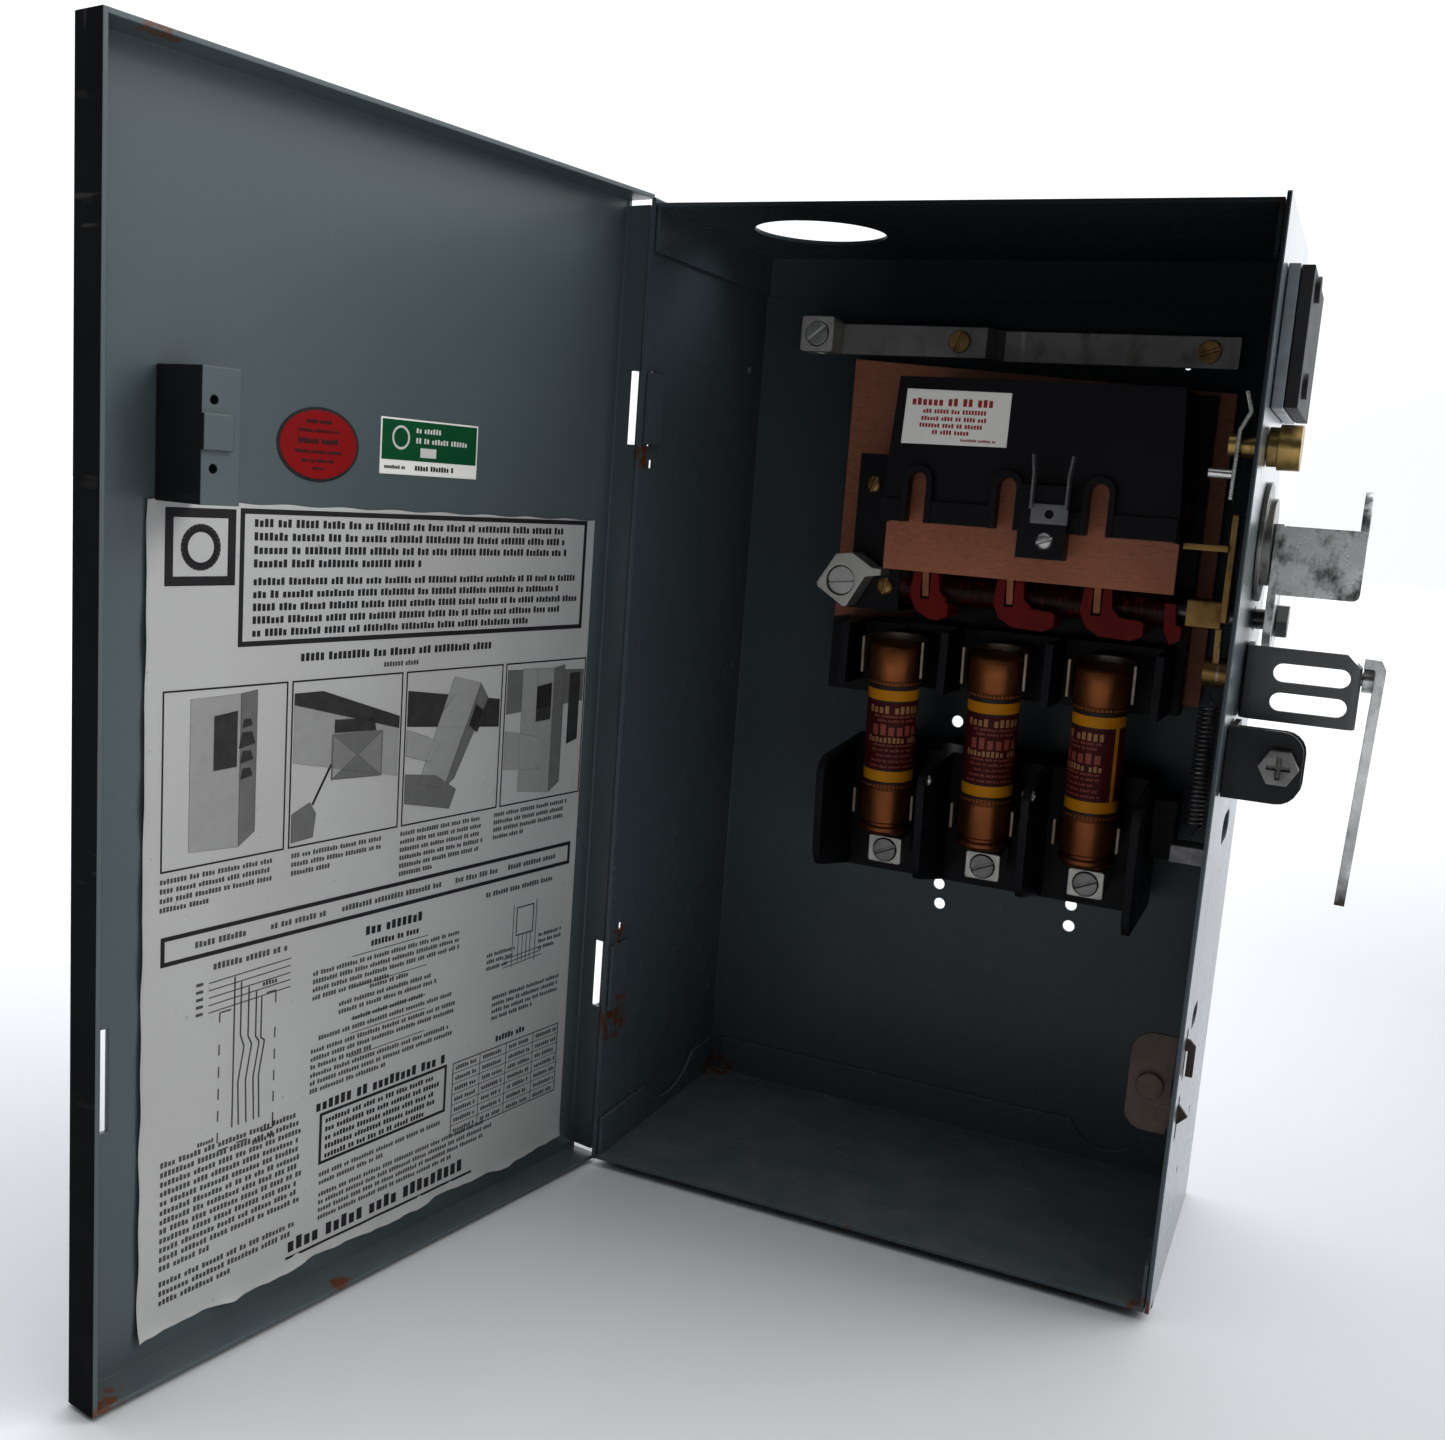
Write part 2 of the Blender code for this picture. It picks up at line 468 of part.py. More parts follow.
def rotor():
    """What turns with the handle inside the cabinet: carrier, blades, crank and shaft."""
    carrier = rod("blade_carrier", RED, (SHAFT_Y, SHAFT_Z), 6.5, 85, 188, "X", ROTOR, 20)
    cam = (SHAFT_Y - 9.5, SHAFT_Y + 7)
    for i, (x, foot) in enumerate(zip(POLES, (9.6, 17.6, 17.6))):
        crook = [(x - 5, 243), (x - 6, 234), (x - 3.2, 228.5), (x + 2, 225.4), (x + foot - 4, 225),
                 (x + foot, 227), (x + foot, 231.6), (x + foot - 1.4, 232.6), (x + 9, 233), (x + 5.6, 236.6),
                 (x + 5, 243)]
        slit = (cam[0] - 3, SHAFT_Y + 4), (SHAFT_Z - 4, SHAFT_Z + 15)
        weld(carrier, solid(f"carrier_crook_{i}", RED, crook, *cam, "Y", ROTOR))
        cut(carrier, block(f"blade_slit_{i}", RED, (x - 1.8, x + 1.8), *slit, ROTOR))
    end = [(185.6, 240), (186.4, 230), (188.8, 225), (192.4, 227), (192.4, 232), (190.4, 232.4), (189.6, 240)]
    weld(carrier, solid("carrier_end", RED, end, *cam, "Y", ROTOR))
    cut(carrier, rod("carrier_bore", RED, (SHAFT_Y, SHAFT_Z), SHAFT_RADIUS + GAP, 186.5, 195, "X", ROTOR, 20))
    for label, x in zip(("left", "center", "right"), POLES):
        blade = [(SHAFT_Y - 8.3, SHAFT_Z - 3.5), (SHAFT_Y + 3.5, SHAFT_Z - 3.5), (SHAFT_Y + 3.5, SHAFT_Z + 4),
                 (SHAFT_Y - 9, SHAFT_Z + 30), (SHAFT_Y - 16, SHAFT_Z + 27)]
        solid(f"switch_blade_{label}", COPPER, blade, x - 1.4, x + 1.4, "X", ROTOR)
    crank = solid("spring_crank", BRASS, rounded(SHAFT_Y - 6, SHAFT_Y + 6, SHAFT_Z - 5, SHAFT_Z + 5.3, 1, 2),
                  193, 205.3, "X", ROTOR)
    pin = Vector(SPRING_PIN)
    web = folded([(SHAFT_Y + 1, SHAFT_Z - 2), tuple(pin)], 5.5)
    weld(crank, solid("crank_web", BRASS, web, 203.3, 205.6, "X", ROTOR),
         rod("crank_roller", BRASS, tuple(pin), 5.6, 200.2, 209.3, "X", ROTOR, 20))
    cut(crank, rod("crank_bore", BRASS, (SHAFT_Y, SHAFT_Z), SHAFT_RADIUS + GAP, 190, 215, "X", ROTOR, 20))
    shaft = rod("switch_shaft", ZINC, (SHAFT_Y, SHAFT_Z), SHAFT_RADIUS, 188.3, 224, "X", ROTOR)
    weld(shaft, solid("shaft_nut", ZINC, circle((SHAFT_Y, SHAFT_Z), 6.4, 6), 223.6, 227.5, "X", ROTOR))


def operating_spring():
    """The space that the spring's coil fills, hooked to the crank at its top."""
    top = math.hypot(SPRING_PIN[0] - SHAFT_Y, SPRING_PIN[1] - SPRING_ANCHOR_Z)
    return rod("operating_spring", ZINC, (SPRING_X, SHAFT_Y), 4.0, SPRING_ANCHOR_Z - 2, SPRING_ANCHOR_Z + top - 8,
               "Z", SPRING, 16)


def spring_anchor():
    """A bent plate on the right wall that the spring's foot hooks into."""
    anchor = block("spring_anchor", BRONZE, (197.5, 213), (66, 78), (150, 151.5))
    return weld(anchor, block("anchor_lip", BRONZE, (197.5, 213), (66, 67.5), (145, 151.5)),
                block("anchor_foot", BRONZE, (212.7, 214.2), (62, 82), (143, 156)))


def interlock_bracket():
    strip = block("interlock_strip", BRASS, (206.0, 208.3), (52, 63.5), (235.5, 273))
    return weld(strip, block("interlock_arm", BRASS, (191, 206.3), (50, 57), (260, 262.2)))


# ---------------------------------------------------------------- handle
def handle_arm():
    """A hub on the shaft, an arm up from it, a finger tab that faces front and an eye at its outer end."""
    x = (220.6, 223.3)
    outline = (arc((62, SHAFT_Z), 12, 180, 270, 6) + arc((SHAFT_Y, SHAFT_Z), 12, 270, 360, 8)
               + arc((74, 263), 8, 0, 90, 5) + [(50, 271)])
    arm = solid("handle_arm", ZINC, outline, *x, "X", ROTOR)
    tab = rounded(222, 249.8, 247, 270.5, 2.2, 3)
    eye = circle((63.5, 271), 13.2, 28)
    weld(arm, solid("handle_tab", ZINC, tab, 50, 52.6, "Y", ROTOR),
         solid("handle_eye", ZINC, eye, 247.2, 249.8, "X", ROTOR))
    return cut(arm, rod("handle_eye_hole", ZINC, (64.5, 272), 8.2, 245, 252, "X", ROTOR, 24),
               rod("handle_bore", ZINC, (SHAFT_Y, SHAFT_Z), SHAFT_RADIUS + GAP, 218, 226, "X", ROTOR))


def handle_disc():
    """A dished round plate on the wall behind the handle."""
    disc = solid("handle_disc", ZINC, circle((56, 264.5), 20.5, 40), WIDTH + GAP, WIDTH + 1.8, "X", smooth=True)
    weld(disc, rod("disc_boss", ZINC, (56, 264.5), 15, WIDTH + 1.5, WIDTH + 4.1, "X"))
    return cut(disc, rod("disc_relief", ZINC, (SHAFT_Y, SHAFT_Z), 12.2, WIDTH - 1, WIDTH + 6, "X"))


# ---------------------------------------------------------------- right wall, outside
def hook_plate():
    plate = block("hook_plate", GREY, (WIDTH + GAP, WIDTH + 3.9), (18, 90), (307, 351.8))
    pad = block("hook_plate_pad", BLACK, (WIDTH + 4.2, WIDTH + 8.2), (18.3, 89), (307.4, 351.4))
    for i, z in enumerate((346, 315.6)):
        weld(pad, rod(f"pad_rivet_{i}", BLACK, (34, z), 4.2, WIDTH + 8.0, WIDTH + 9.8, "X", steps=20))
    return plate


def hasp_bracket():
    """A bent plate bolted to the wall, its face to the front with two padlock slots."""
    line = [(WIDTH + 1.2, 70), (WIDTH + 1.2, 48.5), (WIDTH + 1.9, 46.1), (WIDTH + 4.2, 45), (250.9, 45),
            (252.4, 45.8), (253.0, 47.5), (253.0, 60)]
    bracket = solid("hasp_bracket", GREY, folded(line, 1.8), 204.3, 229.5, "Z")
    cut(bracket,
        solid("hasp_slot_upper", GREY, obround((238.4, 221.2), 24.6, 6.4), 40, 50, "Y"),
        solid("hasp_slot_lower", GREY, obround((238.4, 211.2), 24.6, 6.4), 40, 50, "Y"),
        solid("hasp_chamfer", GREY, [(248.6, 229.7), (254.2, 224.2), (256, 224.2), (256, 232), (248.6, 232)],
              40, 62, "Y"),
        rod("lever_pin_hole", GREY, LEVER_PIVOT, 2.6, 250, 255, "X", steps=16),
        rod("hasp_shaft_relief", GREY, (SHAFT_Y, SHAFT_Z), 12.2, 210, 225, "X"))
    return bracket


def clamp_bracket():
    """A black channel on the wall with rounded outer corners, which holds the clamping screw."""
    def plate(low, high):
        return ([(WIDTH + GAP, low), (WIDTH + GAP, high)] + arc((233.2, high - 7), 7, 90, 0, 5)
                + arc((233.2, low + 7), 7, 0, -90, 5))

    face = solid("clamp_bracket", BLACK_PAINT, plate(181, 204.8), 14, 16, "Y")
    weld(face, block("clamp_side", BLACK_PAINT, (WIDTH + GAP, WIDTH + 2.3), (15.8, 42), (181, 204)),
         solid("clamp_rear", BLACK_PAINT, plate(178, 202), 40, 42, "Y"))
    return cut(face, rod("clamp_hole", BLACK_PAINT, (CLAMP_X, CLAMP_Z), 3.5, 10, 45, "Y"))


def clamp_screw():
    head = solid("clamping_screw", ZINC, circle((CLAMP_X, CLAMP_Z), 6.3, 6), 8.6, 13.7, "Y", CLAMP)
    weld(head, rod("clamping_shank", ZINC, (CLAMP_X, CLAMP_Z), 3.1, 13, 46, "Y", CLAMP, 20))
    return cut(head, block("cross_a", ZINC, (CLAMP_X - 3.6, CLAMP_X + 3.6), (7, 10.6), (CLAMP_Z - 0.7, CLAMP_Z + 0.7), CLAMP),
               block("cross_b", ZINC, (CLAMP_X - 0.7, CLAMP_X + 0.7), (7, 10.6), (CLAMP_Z - 3.6, CLAMP_Z + 3.6), CLAMP))


def clamp_lever():
    """A long tapered lever that hangs from a pin on the hasp bracket, with its top bent over."""
    line = [(256.9, 143), (259.4, 221.5), (259.4, 225), (258.4, 226.8), (254.2, 227)]
    lever = solid("clamp_lever", ZINC, folded(line, 3.3), 46, 60, "Y", LEVER)
    cut(lever, solid("lever_taper_front", ZINC, [(45, 214), (49.6, 142), (45, 142)], 250, 265, "X", LEVER),
        solid("lever_taper_back", ZINC, [(61, 214), (56.4, 142), (61, 142)], 250, 265, "X", LEVER))
    return weld(lever, rod("lever_pin", ZINC, LEVER_PIVOT, 2.3, 251.2, 258.6, "X", LEVER, 16),
                rod("lever_washer", ZINC, LEVER_PIVOT, 4.4, 254.3, 258.3, "X", LEVER, 20))


def release_screw():
    """A brass screw with a wide slotted head outside the wall, whose stem turns the interlock lever."""
    centre = (LOCK_Y, LOCK_Z)
    screw = rod("release_screw", BRASS, centre, 7.4, WIDTH + 3.6, WIDTH + 10.6, "X", LOCK, 32)
    weld(screw, rod("release_collar", BRASS, centre, 6.4, WIDTH + GAP, WIDTH + 4, "X", LOCK, 32),
         rod("release_stem", BRASS, centre, 3.9, 204, WIDTH + 1, "X", LOCK, 20))
    return cut(screw, block("release_slot", BRASS, (WIDTH + 8, WIDTH + 12), (LOCK_Y - 0.9, LOCK_Y + 0.9),
                            (LOCK_Z - 9, LOCK_Z + 9), LOCK))


def interlock_lever():
    """A plated strip along the wall, bent at its top, with a pin that points into the cabinet."""
    line = [(207.2, 277.5), (207.6, 300), (210.4, 306), (208.4, 312.5)]
    lever = solid("interlock_lever", ZINC, folded(line, 1.4), 22, 38, "Y", LOCK)
    weld(lever, rod("interlock_pin", ZINC, (LOCK_Y, 286), 1.8, 198.5, 207.6, "X", LOCK, 12))
    return cut(lever, rod("interlock_bore", ZINC, (LOCK_Y, LOCK_Z), 3.9 + GAP, 200, 213, "X", LOCK, 20))


def door_latch():
    """A flat leaf inside the wall with a hook and a tooth that reach out through two windows."""
    leaf = (arc((206, 90), 7.5, 90, 180, 6) + arc((205, 69), 6.5, 180, 270, 6)
            + [(212.5, 62.5), (213.2, 64.5), (216, 67), (219.4, 70.5), (216, 74.5), (213.2, 76), (213.2, 93.5),
               (216.8, 93.5), (216.8, 84.6), (219.2, 84.6), (219.2, 95.6), (217.2, 97.5)])
    latch = solid("door_latch", BRONZE, leaf, 12, 13.4, "Y", LATCH)
    return weld(latch, rod("latch_boss", BRONZE, (206, 79), 4.6, 10.4, 12.3, "Y", LATCH, 20))


# ---------------------------------------------------------------- fuses
def fuse(name, x):
    """A cartridge: two ferrules on a fibre tube, with the groove of a rejection ring at the foot."""
    low = FUSE_Z - FUSE_LENGTH / 2
    high = FUSE_Z + FUSE_LENGTH / 2
    axis = bpy.data.objects[f"{name}_axis"]
    profile = [(0, low), (8.8, low), (FUSE_RADIUS, low + 1.4), (FUSE_RADIUS, low + 3.4), (9.0, low + 3.9),
               (9.0, low + 5.1), (FUSE_RADIUS, low + 5.6), (FUSE_RADIUS, low + FERRULE),
               (FUSE_TUBE, low + FERRULE), (FUSE_TUBE, high - FERRULE), (FUSE_RADIUS, high - FERRULE),
               (FUSE_RADIUS, high - 1.2), (9.2, high), (0, high)]
    made = bmesh.new()
    base = Vector((x, FUSE_Y, FUSE_Z))
    verts = [made.verts.new((Vector((x + r, FUSE_Y, z)) - base) * MM) for r, z in profile]
    edges = [made.edges.new(pair) for pair in zip(verts, verts[1:])]
    bmesh.ops.spin(made, geom=verts + edges, cent=(0, 0, 0), axis=(0, 0, 1), angle=math.tau, steps=28,
                   use_merge=True)
    bmesh.ops.remove_doubles(made, verts=made.verts, dist=1e-6)
    bmesh.ops.recalc_face_normals(made, faces=made.faces)
    mesh = bpy.data.meshes.new(name)
    made.to_mesh(mesh)
    made.free()
    mesh.shade_smooth()
    mesh.set_sharp_from_angle(angle=math.radians(35))
    mesh.materials.append(CARTRIDGE)
    thing = bpy.data.objects.new(name, mesh)
    thing.parent = axis
    bpy.context.collection.objects.link(thing)
    return thing


def clip_outline(x, front):
    """A spring clip round a ferrule, seen from above: a half ring, two straight sides, flared tips."""
    inner, outer = CLIP_INSIDE, CLIP_INSIDE + CLIP_SHEET
    y = FUSE_Y
    outside = arc((x, y), outer, 0, 180, 12)
    inside = arc((x, y), inner, 180, 0, 12)
    return ([(x + outer + 0.7, front), (x + outer, front + 2.5)] + outside
            + [(x - outer, front + 2.5), (x - outer - 0.7, front), (x - inner - 0.7, front),
               (x - inner, front + 2.5)]
            + inside + [(x + inner, front + 2.5), (x + inner + 0.7, front)])


def fuse_clip(name, x, z, tail):
    clip = solid(name, COPPER, clip_outline(x, FUSE_Y - 5.5), *z, "Z", RACK, smooth=True)
    foot = FUSE_Y + CLIP_INSIDE + CLIP_SHEET - 0.5
    return weld(clip, block(name + "_tail", COPPER, (x - 6, x + 6), (foot, foot + 2.3), tail, RACK))


def load_fuse_base():
    """The moulded block under the load clips, with barriers between the poles."""
    base = block("load_fuse_base", BLACK, (67, 187), (FUSE_Y + 16.5, 96), (116, 170), RACK)
    for i, (x, foot) in enumerate(((66.4, 126), (107, 127), (147, 127), (187, 119.5))):
        front = [(43, foot + 6), (47, foot), (80, 117), (96, 116), (96, 170), (50, 170), (44.5, 168), (43, 165)]
        weld(base, solid(f"lower_barrier_{i}", BLACK, front, x - 1.5, x + 1.5, "X", RACK))
    return weld(base, block("lower_right_wing", BLACK, (186, 197), (78, 94), (141, 164), RACK))


def load_lug(name, x):
    lug = solid(name, ALUMINIUM, rounded(x - 6.8, x + 6.8, 125.6, 136.6, 0.8, 2), 63, FUSE_Y + 11, "Y", RACK)
    cut(lug, rod(name + "_bore", ALUMINIUM, (x, 70.8), 3.6, 120, 140, "Z", RACK, 20),
        rod(name + "_thread", ALUMINIUM, (x, 131.1), 4.9, 60, 66.5, "Y", RACK, 20))
    return slotted(name.replace("lug", "lug_screw"), ZINC, (x, 131.1), 4.6, (62.4, 66.2), None, "Y", RACK, turn=25)


cabinet_shell()
top_cap()
bottom_cap()
hinge("hinge_upper", HINGES[0])
hinge("hinge_lower", HINGES[1])
door_pan()
keeper_bracket()
instruction_sheet()
ground_parts()
neutral_parts()
barriers()
line_shield()
shield_clip()
switch_base()
rotor()
operating_spring()
spring_anchor()
interlock_bracket()
handle_arm()
handle_disc()
hook_plate()
hasp_bracket()
clamp_bracket()
clamp_screw()
clamp_lever()
release_screw()
interlock_lever()
door_latch()
load_fuse_base()
for side, pole, place in zip(("left", "center", "right"), POLES, FUSES):
    line_jaw(f"line_jaw_{side}", pole)
    seat(f"fuse_{side}_axis", (place, FUSE_Y, FUSE_Z), RACK)
    fuse(f"fuse_{side}", place)
    fuse_clip(f"upper_clip_{side}", place, (202.8, 217.2), (199, 217.2))
    fuse_clip(f"lower_clip_{side}", place, (145.5, 155.6), (126, 155.6))
    load_lug(f"load_lug_{side}", place + 1.4)
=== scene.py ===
import json
import math
import random

import bmesh
import bpy
from mathutils import Matrix, Vector
from mathutils.bvhtree import BVHTree


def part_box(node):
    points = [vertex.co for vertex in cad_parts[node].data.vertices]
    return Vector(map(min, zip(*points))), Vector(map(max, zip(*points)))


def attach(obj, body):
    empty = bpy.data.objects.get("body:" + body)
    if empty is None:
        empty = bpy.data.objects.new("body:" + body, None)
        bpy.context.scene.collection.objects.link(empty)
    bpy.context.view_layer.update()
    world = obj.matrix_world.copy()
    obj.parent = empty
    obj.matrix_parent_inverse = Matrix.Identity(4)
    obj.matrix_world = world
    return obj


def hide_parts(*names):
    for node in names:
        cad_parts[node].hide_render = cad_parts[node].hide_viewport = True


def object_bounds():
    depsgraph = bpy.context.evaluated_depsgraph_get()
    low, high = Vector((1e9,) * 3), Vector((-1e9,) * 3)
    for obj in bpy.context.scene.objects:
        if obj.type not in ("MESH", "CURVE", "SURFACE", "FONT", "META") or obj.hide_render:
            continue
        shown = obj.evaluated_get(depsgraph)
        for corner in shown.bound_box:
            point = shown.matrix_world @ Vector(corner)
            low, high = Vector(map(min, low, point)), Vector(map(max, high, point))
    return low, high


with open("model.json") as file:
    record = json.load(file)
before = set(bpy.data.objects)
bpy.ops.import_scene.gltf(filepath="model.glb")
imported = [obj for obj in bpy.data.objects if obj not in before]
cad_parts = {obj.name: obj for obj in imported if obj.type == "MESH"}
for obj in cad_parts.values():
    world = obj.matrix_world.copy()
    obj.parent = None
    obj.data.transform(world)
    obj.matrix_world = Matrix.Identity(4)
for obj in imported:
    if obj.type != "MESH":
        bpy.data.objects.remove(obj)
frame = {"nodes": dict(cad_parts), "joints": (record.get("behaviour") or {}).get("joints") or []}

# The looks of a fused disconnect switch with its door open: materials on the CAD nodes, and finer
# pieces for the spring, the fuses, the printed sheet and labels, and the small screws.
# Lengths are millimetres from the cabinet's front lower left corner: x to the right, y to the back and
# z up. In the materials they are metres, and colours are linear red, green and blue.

CAD_BOX = [list(corner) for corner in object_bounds()]
MM = 0.001
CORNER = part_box("cabinet_shell")[0]
WIDTH, DEPTH, HEIGHT = 216.0, 111.5, 370.0   # the cabinet's
JOINTS = {joint["name"]: joint for joint in frame["joints"]}
SIDES = ("left", "center", "right")

# The door is described closed, then turned to the place it has at rest.
DOOR_JOINT = JOINTS["door_hinge"]
DOOR_PIVOT = Vector(DOOR_JOINT["pos_m"])
DOOR_TURN = math.radians(DOOR_JOINT["range_deg"][1])
DOOR = (Matrix.Translation(DOOR_PIVOT) @ Matrix.Rotation(-DOOR_TURN, 4, "Z")
        @ Matrix.Translation(-DOOR_PIVOT))
CABINET = Matrix.Identity(4)
PANEL = -1.64        # the inner face of the closed door's panel
SHEET_LEFT = 197.0   # where the sheet's lines start, at the door's free side
SHEET_WIDTH = 189.0
SHEET_TOP = 253.8
SHEET_BOTTOM = 9.5


def at(x, y, z):
    """A point of the cabinet, in the row frame."""
    return CORNER + Vector((x, y, z)) * MM


def local(point):
    """The same point back in millimetres."""
    return (Vector(point) - CORNER) / MM


# ---------------------------------------------------------------- materials
class Nodes:
    """A node tree, and short calls for the nodes in it."""

    def __init__(self, tree):
        self.tree = tree

    def add(self, kind, inputs=None, **settings):
        node = self.tree.nodes.new("ShaderNode" + kind)
        for key, value in settings.items():
            setattr(node, key, value)
        for socket, value in (inputs or {}).items():
            if isinstance(value, bpy.types.NodeSocket):
                self.tree.links.new(value, node.inputs[socket])
            else:
                node.inputs[socket].default_value = value
        return node

    def spread(self, value, low, high, to_low=0.0, to_high=1.0):
        """value from low to high, stretched over to_low to to_high and held there."""
        return self.add("MapRange", {"Value": value, "From Min": low, "From Max": high,
                                     "To Min": to_low, "To Max": to_high}).outputs[0]

    def calc(self, operation, *values):
        return self.add("Math", dict(enumerate(values)), operation=operation).outputs[0]

    def split(self, vector):
        return self.add("SeparateXYZ", {"Vector": vector}).outputs


class Look(Nodes):
    """A Principled material, fed by the place of a point in the row frame."""

    def __init__(self, name, slot=None, **sockets):
        self.made = bpy.data.materials.new(name)
        self.made.use_nodes = True
        super().__init__(self.made.node_tree)
        self.shader = self.tree.nodes["Principled BSDF"]
        self.slot = slot
        self.place = self.add("TexCoord").outputs["Object"]
        for socket, value in sockets.items():
            self.shader.inputs[socket.replace("_", " ")].default_value = value

    def feed(self, socket, value):
        self.tree.links.new(value, self.shader.inputs[socket])

    def noise(self, scale, detail=3.0, stretch=None, roughness=0.5):
        vector = self.place
        if stretch:
            vector = self.add("Mapping", {"Vector": vector, "Scale": stretch}).outputs[0]
        made = self.add("TexNoise", {"Vector": vector, "Scale": scale, "Detail": detail,
                                     "Roughness": roughness})
        return made.outputs[0]

    def mix(self, share, first, second):
        def colour(value):
            return value if isinstance(value, bpy.types.NodeSocket) else (*value, 1.0)

        made = self.add("Mix", {0: share, 6: colour(first), 7: colour(second)}, data_type="RGBA")
        return made.outputs[2]

    def near(self, point, radius):
        """1 at a point of the row frame, falling to 0 at radius metres from it."""
        apart = self.add("VectorMath", {0: self.place, 1: point}, operation="DISTANCE")
        return self.spread(apart.outputs["Value"], 0.0, radius, 1.0, 0.0)


RUST = (0.16, 0.055, 0.02)
DUST = (0.30, 0.28, 0.25)
# Near black, painted as shade inside the cabinet towards its roof.
INSIDE_PAINTED_SHADE = (0.006, 0.007, 0.008)
EDGE_RADIUS = 0.0005   # of the rounding that the shading gives to edges


def finish(look, base, shade, roughness, blotch=25.0, spread=0.08, grain=900.0, relief=0.2,
           metal=0.0, wear=None, wear_at=(0.03, 0.2), wear_metal=0.8, wear_rough=0.4, scratch=None,
           scratch_share=0.35, dust=None, dust_share=0.3, extra=None):
    """Blotches of two colours, fine grain, worn edges, scratches and dust, each at its own scale."""
    colour = look.mix(look.spread(look.noise(blotch, 5.0), 0.25, 0.75), base, shade)
    rough = look.spread(look.noise(blotch * 3.1, 4.0), 0.2, 0.8, roughness - spread,
                        roughness + spread)
    shiny = None
    if scratch:
        marks = look.calc("ADD",
                          look.spread(look.noise(240.0, 2.0, (1.0, 1.0, 0.06)), 0.66, 0.72),
                          look.spread(look.noise(190.0, 2.0, (0.12, 0.7, 1.0)), 0.67, 0.72))
        patches = look.spread(look.noise(14.0), 0.5, 0.7, 0.0, scratch_share)
        share = look.calc("MULTIPLY", marks, patches)
        colour = look.mix(share, colour, scratch)
    if dust:
        up = look.split(look.add("NewGeometry").outputs["Normal"])[2]
        speckled = look.spread(look.noise(70.0, 6.0), 0.3, 0.7)
        settled = look.calc("MULTIPLY", look.spread(up, 0.2, 0.95), speckled)
        colour = look.mix(look.calc("MULTIPLY", settled, dust_share), colour, dust)
    if extra:
        colour = extra(look, colour)
    rounded = look.add("Bevel", {"Radius": EDGE_RADIUS}, samples=4).outputs[0]
    if wear:
        flat = look.add("NewGeometry").outputs["Normal"]
        alike = look.add("VectorMath", {0: rounded, 1: flat}, operation="DOT_PRODUCT")
        edge = look.spread(look.calc("SUBTRACT", 1.0, alike.outputs["Value"]), *wear_at)
        chips = look.spread(look.noise(150.0, 6.0, roughness=0.7), 0.42, 0.62)
        worn = look.calc("MULTIPLY", edge, chips)
        colour = look.mix(worn, colour, wear)
        rough = look.calc("ADD", rough, look.calc("MULTIPLY", worn, wear_rough - roughness))
        shiny = look.spread(worn, 0.0, 1.0, metal, wear_metal)
    look.feed("Base Color", colour)
    look.feed("Roughness", rough)
    if shiny:
        look.feed("Metallic", shiny)
    else:
        look.shader.inputs["Metallic"].default_value = metal
    bump = look.add("Bump", {"Strength": relief, "Distance": 0.0002, "Normal": rounded,
                             "Height": look.noise(grain, 3.0)})
    look.feed("Normal", bump.outputs[0])
    return look


def rust_on(places):
    """Rust that breaks out around some points, each with its own reach."""
    def paint(look, colour):
        for point, reach in places:
            broken = look.spread(look.noise(220.0, 8.0), 0.4, 0.6)
            patch = look.calc("MULTIPLY", look.near(point, reach), broken)
            colour = look.mix(look.spread(patch, 0.12, 0.42), colour, RUST)
        return colour
    return paint


CABINET_RUST = [(at(3, 110, 3), 0.016), (at(0, 8, 60), 0.016), (at(1, 8, 95), 0.008),
                (at(214, 2, 366), 0.006), (at(0, 3, 278), 0.007), (at(108, 0, 1), 0.006),
                (at(214, 1, 2), 0.008)]


def inside_cabinet(look):
    """1 on the faces inside the cabinet's walls, and 0 on the outer faces of its walls."""
    across, depth, height = look.split(look.place)
    skin, edge = 0.4, 0.0001
    low, high = at(skin, 0, 0), at(WIDTH - skin, DEPTH - skin, HEIGHT - skin)
    inside = look.spread(across, low.x, low.x + edge)
    for value, limit in ((across, high.x), (depth, high.y), (height, high.z)):
        inside = look.calc("MULTIPLY", inside, look.spread(value, limit - edge, limit, 1.0, 0.0))
    return inside


def cabinet_paint():
    """The cabinet's enamel, with rust in places and a coat only outside. Inside, towards the roof, its shine
    is taken away and its colour darkened to near black: painted shade.
    """
    look = Look("cabinet_paint", "blue_grey_paint", Coat_Roughness=0.3)

    def rust_and_painted_shade(look, colour):
        colour = rust_on(CABINET_RUST)(look, colour)
        inside = inside_cabinet(look)
        across, _, height = look.split(look.place)
        look.feed("Coat Weight", look.spread(inside, 0.0, 1.0, 0.8, 0.0))
        # Inside, the specular level falls towards the roof: painted shade.
        rise = look.spread(height, at(0, 0, 60).z, at(0, 0, 300).z, 0.45, 0.96)
        painted_shade_dulling = look.calc("MULTIPLY", inside, rise)
        look.feed("Specular IOR Level", look.spread(painted_shade_dulling, 0.0, 1.0, 0.5, 0.0))
        # Inside, the colour goes to near black towards the roof, less so by the left wall: painted shade.
        aside_painted_shade = look.spread(across, at(0, 0, 0).x, at(60, 0, 0).x, 0.35, 1.0)
        high = look.spread(height, at(0, 0, 130).z, at(0, 0, 350).z, 0.0, 0.88)
        painted_shade_share = look.calc("MULTIPLY", look.calc("MULTIPLY", inside, high), aside_painted_shade)
        return look.mix(painted_shade_share, colour, INSIDE_PAINTED_SHADE)

    return finish(look, (0.098, 0.126, 0.139), (0.110, 0.141, 0.155), 0.27, blotch=12.0, spread=0.03,
                  grain=1400.0, relief=0.09, wear=(0.10, 0.085, 0.07), wear_at=(0.05, 0.3),
                  wear_metal=0.35, scratch=(0.22, 0.25, 0.26), scratch_share=0.10, dust=DUST,
                  dust_share=0.30, extra=rust_and_painted_shade)


